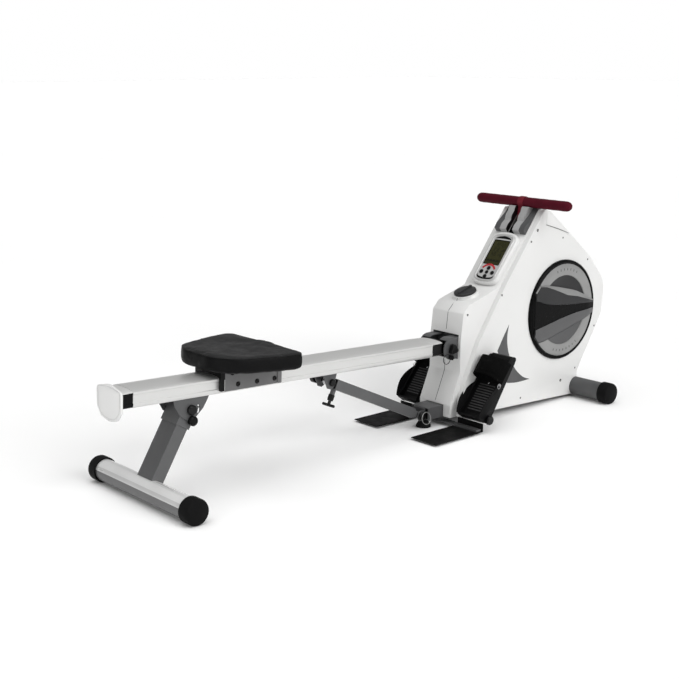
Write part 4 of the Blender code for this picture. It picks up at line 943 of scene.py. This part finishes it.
def settle(item, base, height):
    """Moves a thin trim onto the surface of its base, measured straight down."""
    tree = mesh_tree(base.data)
    vertices = item.data.vertices
    for start in range(0, len(vertices), TUBE_SIDES):
        ring = vertices[start:start + TUBE_SIDES]
        centre = sum((v.co for v in ring), Vector()) / TUBE_SIDES
        hit = tree.ray_cast(centre + Vector((0, 0, 0.05)), Vector((0, 0, -1)))[0]
        if hit is not None and abs(hit.z - centre.z) < 0.012:
            move = Vector((0, 0, hit.z - centre.z + height))
            for vertex in ring:
                vertex.co += move


def puff(item, voxel, cap):
    """Fills the cushion with a short cloth simulation and keeps every point within cap of where it began."""
    remesh = item.modifiers.new("remesh", "REMESH")
    remesh.mode = "VOXEL"
    remesh.voxel_size = voxel
    bake(item)
    before = [v.co.copy() for v in item.data.vertices]
    cloth = item.modifiers.new("cloth", "CLOTH")
    cloth.settings.use_pressure = True
    cloth.settings.uniform_pressure_force = 4.0
    cloth.settings.effector_weights.gravity = 0.0
    cloth.settings.tension_stiffness = cloth.settings.compression_stiffness = 25.0
    cloth.point_cache.frame_start = 1
    cloth.point_cache.frame_end = PUFF_FRAMES
    for number in range(1, PUFF_FRAMES + 1):
        SCENE.frame_set(number)
    bake(item)
    SCENE.frame_set(1)
    for vertex, start in zip(item.data.vertices, before):
        move = vertex.co - start
        if move.length > cap:
            vertex.co = start + move * (cap / move.length)


def bake(item):
    graph = bpy.context.evaluated_depsgraph_get()
    graph.update()
    mesh = bpy.data.meshes.new_from_object(item.evaluated_get(graph))
    item.modifiers.clear()
    item.data = mesh


def crease(item):
    """Soft folds that fan out from the nose of the seat, and slight unevenness all over."""
    flat = CARRIAGE.inverted()
    smooth = item.modifiers.new("finer", "SUBSURF")
    smooth.levels = smooth.render_levels = 1
    bake(item)
    item.data.shade_smooth()
    for vertex in item.data.vertices:
        at = flat @ vertex.co
        if at.z < 0.08:
            continue
        reach = Vector((at.x - 0.105, at.y)).length
        angle = math.atan2(at.y, 0.105 - at.x)
        fold = math.sin(angle * 6.5) * math.exp(-((reach - 0.075) / 0.045) ** 2) * 0.0016
        wave = noise.noise(Vector((at.x * 26, at.y * 26, 0.3))) * 0.0009
        vertex.co.z += fold + wave


# Pedals
FLAP_HALF = 0.0009  # half the loose flap's thickness


def make_pedal(side, sign):
    axle = DATUM @ Matrix.Translation((0.32, sign * 0.15, 0.046))
    place = axle @ Matrix.Rotation(-math.radians(52), 4, "Y")
    body = "pedal_" + side

    def fill_sole(bm):
        plate(bm, rectangle(0.004, -0.04, 0.128, 0.04, 0.01, 0.004), 0.0215, 0.0232, 0.0006)
        plate(bm, rectangle(0.208, -0.04, 0.232, 0.04, 0.004, 0.008), 0.0215, 0.0236, 0.0008)

    piece("sole_mat_" + side, body, RUBBER, fill_sole, place)

    def fill_ribs(bm):
        for k in range(11):
            s = 0.014 + k * 0.0098
            plate(bm, rectangle(s, -0.036, s + 0.0042, 0.036, 0.001, steps=2), 0.0228, 0.0252, 0.0009)

    piece("sole_ribs_" + side, body, RIB_RUBBER, fill_ribs, place)

    def fill_wings(bm):
        for edge in (-1, 1):
            rings = []
            for k in range(13):
                s = -0.018 + 0.142 * k / 12
                rise = 0.028 + 0.022 * math.sin(math.pi * (k + 2) / 14) - 0.012 * (k / 12) ** 2
                flare = 0.009 * math.sin(math.pi * k / 12)
                rings.append([(s, edge * y, 0.012 + h) for y, h in (
                    (0.05, 0), (0.0515 + flare * 0.7, rise * 0.55), (0.051 + flare, rise),
                    (0.049 + flare, rise), (0.049 + flare * 0.6, rise * 0.55), (0.047, 0))])
            sweep(bm, rings)

    piece("sole_wings_" + side, body, RUBBER, fill_wings, place, 60)

    def fill_strap(bm):
        line = rounded([(-0.054, 0.0235), (-0.054, 0.061, 0.022), (-0.03, 0.0838, 0.022),
                        (0.03, 0.0838, 0.022), (0.054, 0.061, 0.022), (0.054, 0.0235)], 7, closed=False)
        path = []
        for a, b in zip(line, line[1:]):
            steps = max(1, round((b - a).length / 0.005))
            path += [a.lerp(b, k / steps) for k in range(steps)]
        path.append(line[-1])
        rings = []
        for index, (here, across) in enumerate(crossings(path)):
            share = index / (len(path) - 1)
            narrow = 0.006 * math.sin(share * math.pi) ** 2
            low, high = 0.129 + narrow * 0.3, 0.208 - narrow
            ring = []
            for s, out in ((low, 0.3), (low + 0.0012, 1), (0.15, 1), (0.1675, 1), (0.186, 1),
                           (high - 0.0012, 1), (high, 0.3), (high, -0.3), (high - 0.0012, -1),
                           (0.1675, -1), (low + 0.0012, -1), (low, -0.3)):
                wrinkle = noise.noise(Vector((s * 40, here.x * 30, sign * 2.0)))
                sag = 0.0012 * wrinkle * math.sin(share * math.pi)
                at = here + across * (0.0015 * out + sag)
                ring.append((s, at.x, at.y))
            rings.append(ring)
        sweep(bm, rings)

    strap = piece("foot_strap_" + side, body, BLACK_WEB, fill_strap, place, 50)
    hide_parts("pedal_strap_" + side)

    def fill_flap(bm):
        line = rounded([(-0.0562, 0.03), (-0.0562, 0.062, 0.022), (-0.031, 0.086, 0.022), (0.015, 0.0866)],
                       7, closed=False)
        section = ((0.1435, 0.3), (0.1445, 1), (0.1675, 1.2), (0.1905, 1), (0.1915, 0.3), (0.1915, -0.3),
                   (0.1905, -1), (0.1445, -1), (0.1435, -0.3))
        ribbon(bm, line, section, FLAP_HALF, lambda s, at: (s, at.x * -sign, at.y))

    piece("strap_flap_" + side, body, BLACK_WEB, fill_flap, place, 50)

    def fill_buckle(bm):
        ring = [(0.118 + 0.0085 * math.cos(a), sign * (0.0545 + 0.0012 * math.sin(a)),
                 0.03 + 0.0085 * math.sin(a)) for a in turns(28)]
        tube(bm, ring, 0.001, looped=True)
        tube(bm, [(0.118, sign * 0.05, 0.03), (0.118, sign * 0.0535, 0.03), (0.1265, sign * 0.055, 0.03)],
             0.0016)

    piece("strap_ring_" + side, body, STEEL, fill_buckle, place)

    rivet = [(0, 0.0016), (0.002, 0.0014), (0.0034, 0.0006), (0.0036, -0.001), (0, -0.001)]
    piece("sole_rivet_" + side, body, STEEL, lambda bm: lathe(bm, rivet, 16),
          place @ Matrix.Translation((0.1235, 0, 0.0232)))


def make_floor():
    bm = bmesh.new()
    bmesh.ops.create_grid(bm, x_segments=8, y_segments=8, size=60)
    mesh = bpy.data.meshes.new("floor")
    bm.to_mesh(mesh)
    bm.free()
    mesh.materials.append(make_floor_finish())
    floor = bpy.data.objects.new("floor", mesh)
    SCENE.collection.objects.link(floor)


make_camera()
make_light()
make_floor()
dress_nodes()
for casing_name, casing_sign in SIDES:
    make_screws(casing_name, casing_sign)
    make_swoosh(casing_name, casing_sign)
make_top_cap()
make_nose_seam()
for disc_name, disc_sign in SIDES:
    make_disc(disc_name, disc_sign)
make_console()
make_handle()
make_rail_details()
make_carriage_details()
make_seat()
for pedal_name, pedal_sign in SIDES:
    make_pedal(pedal_name, pedal_sign)
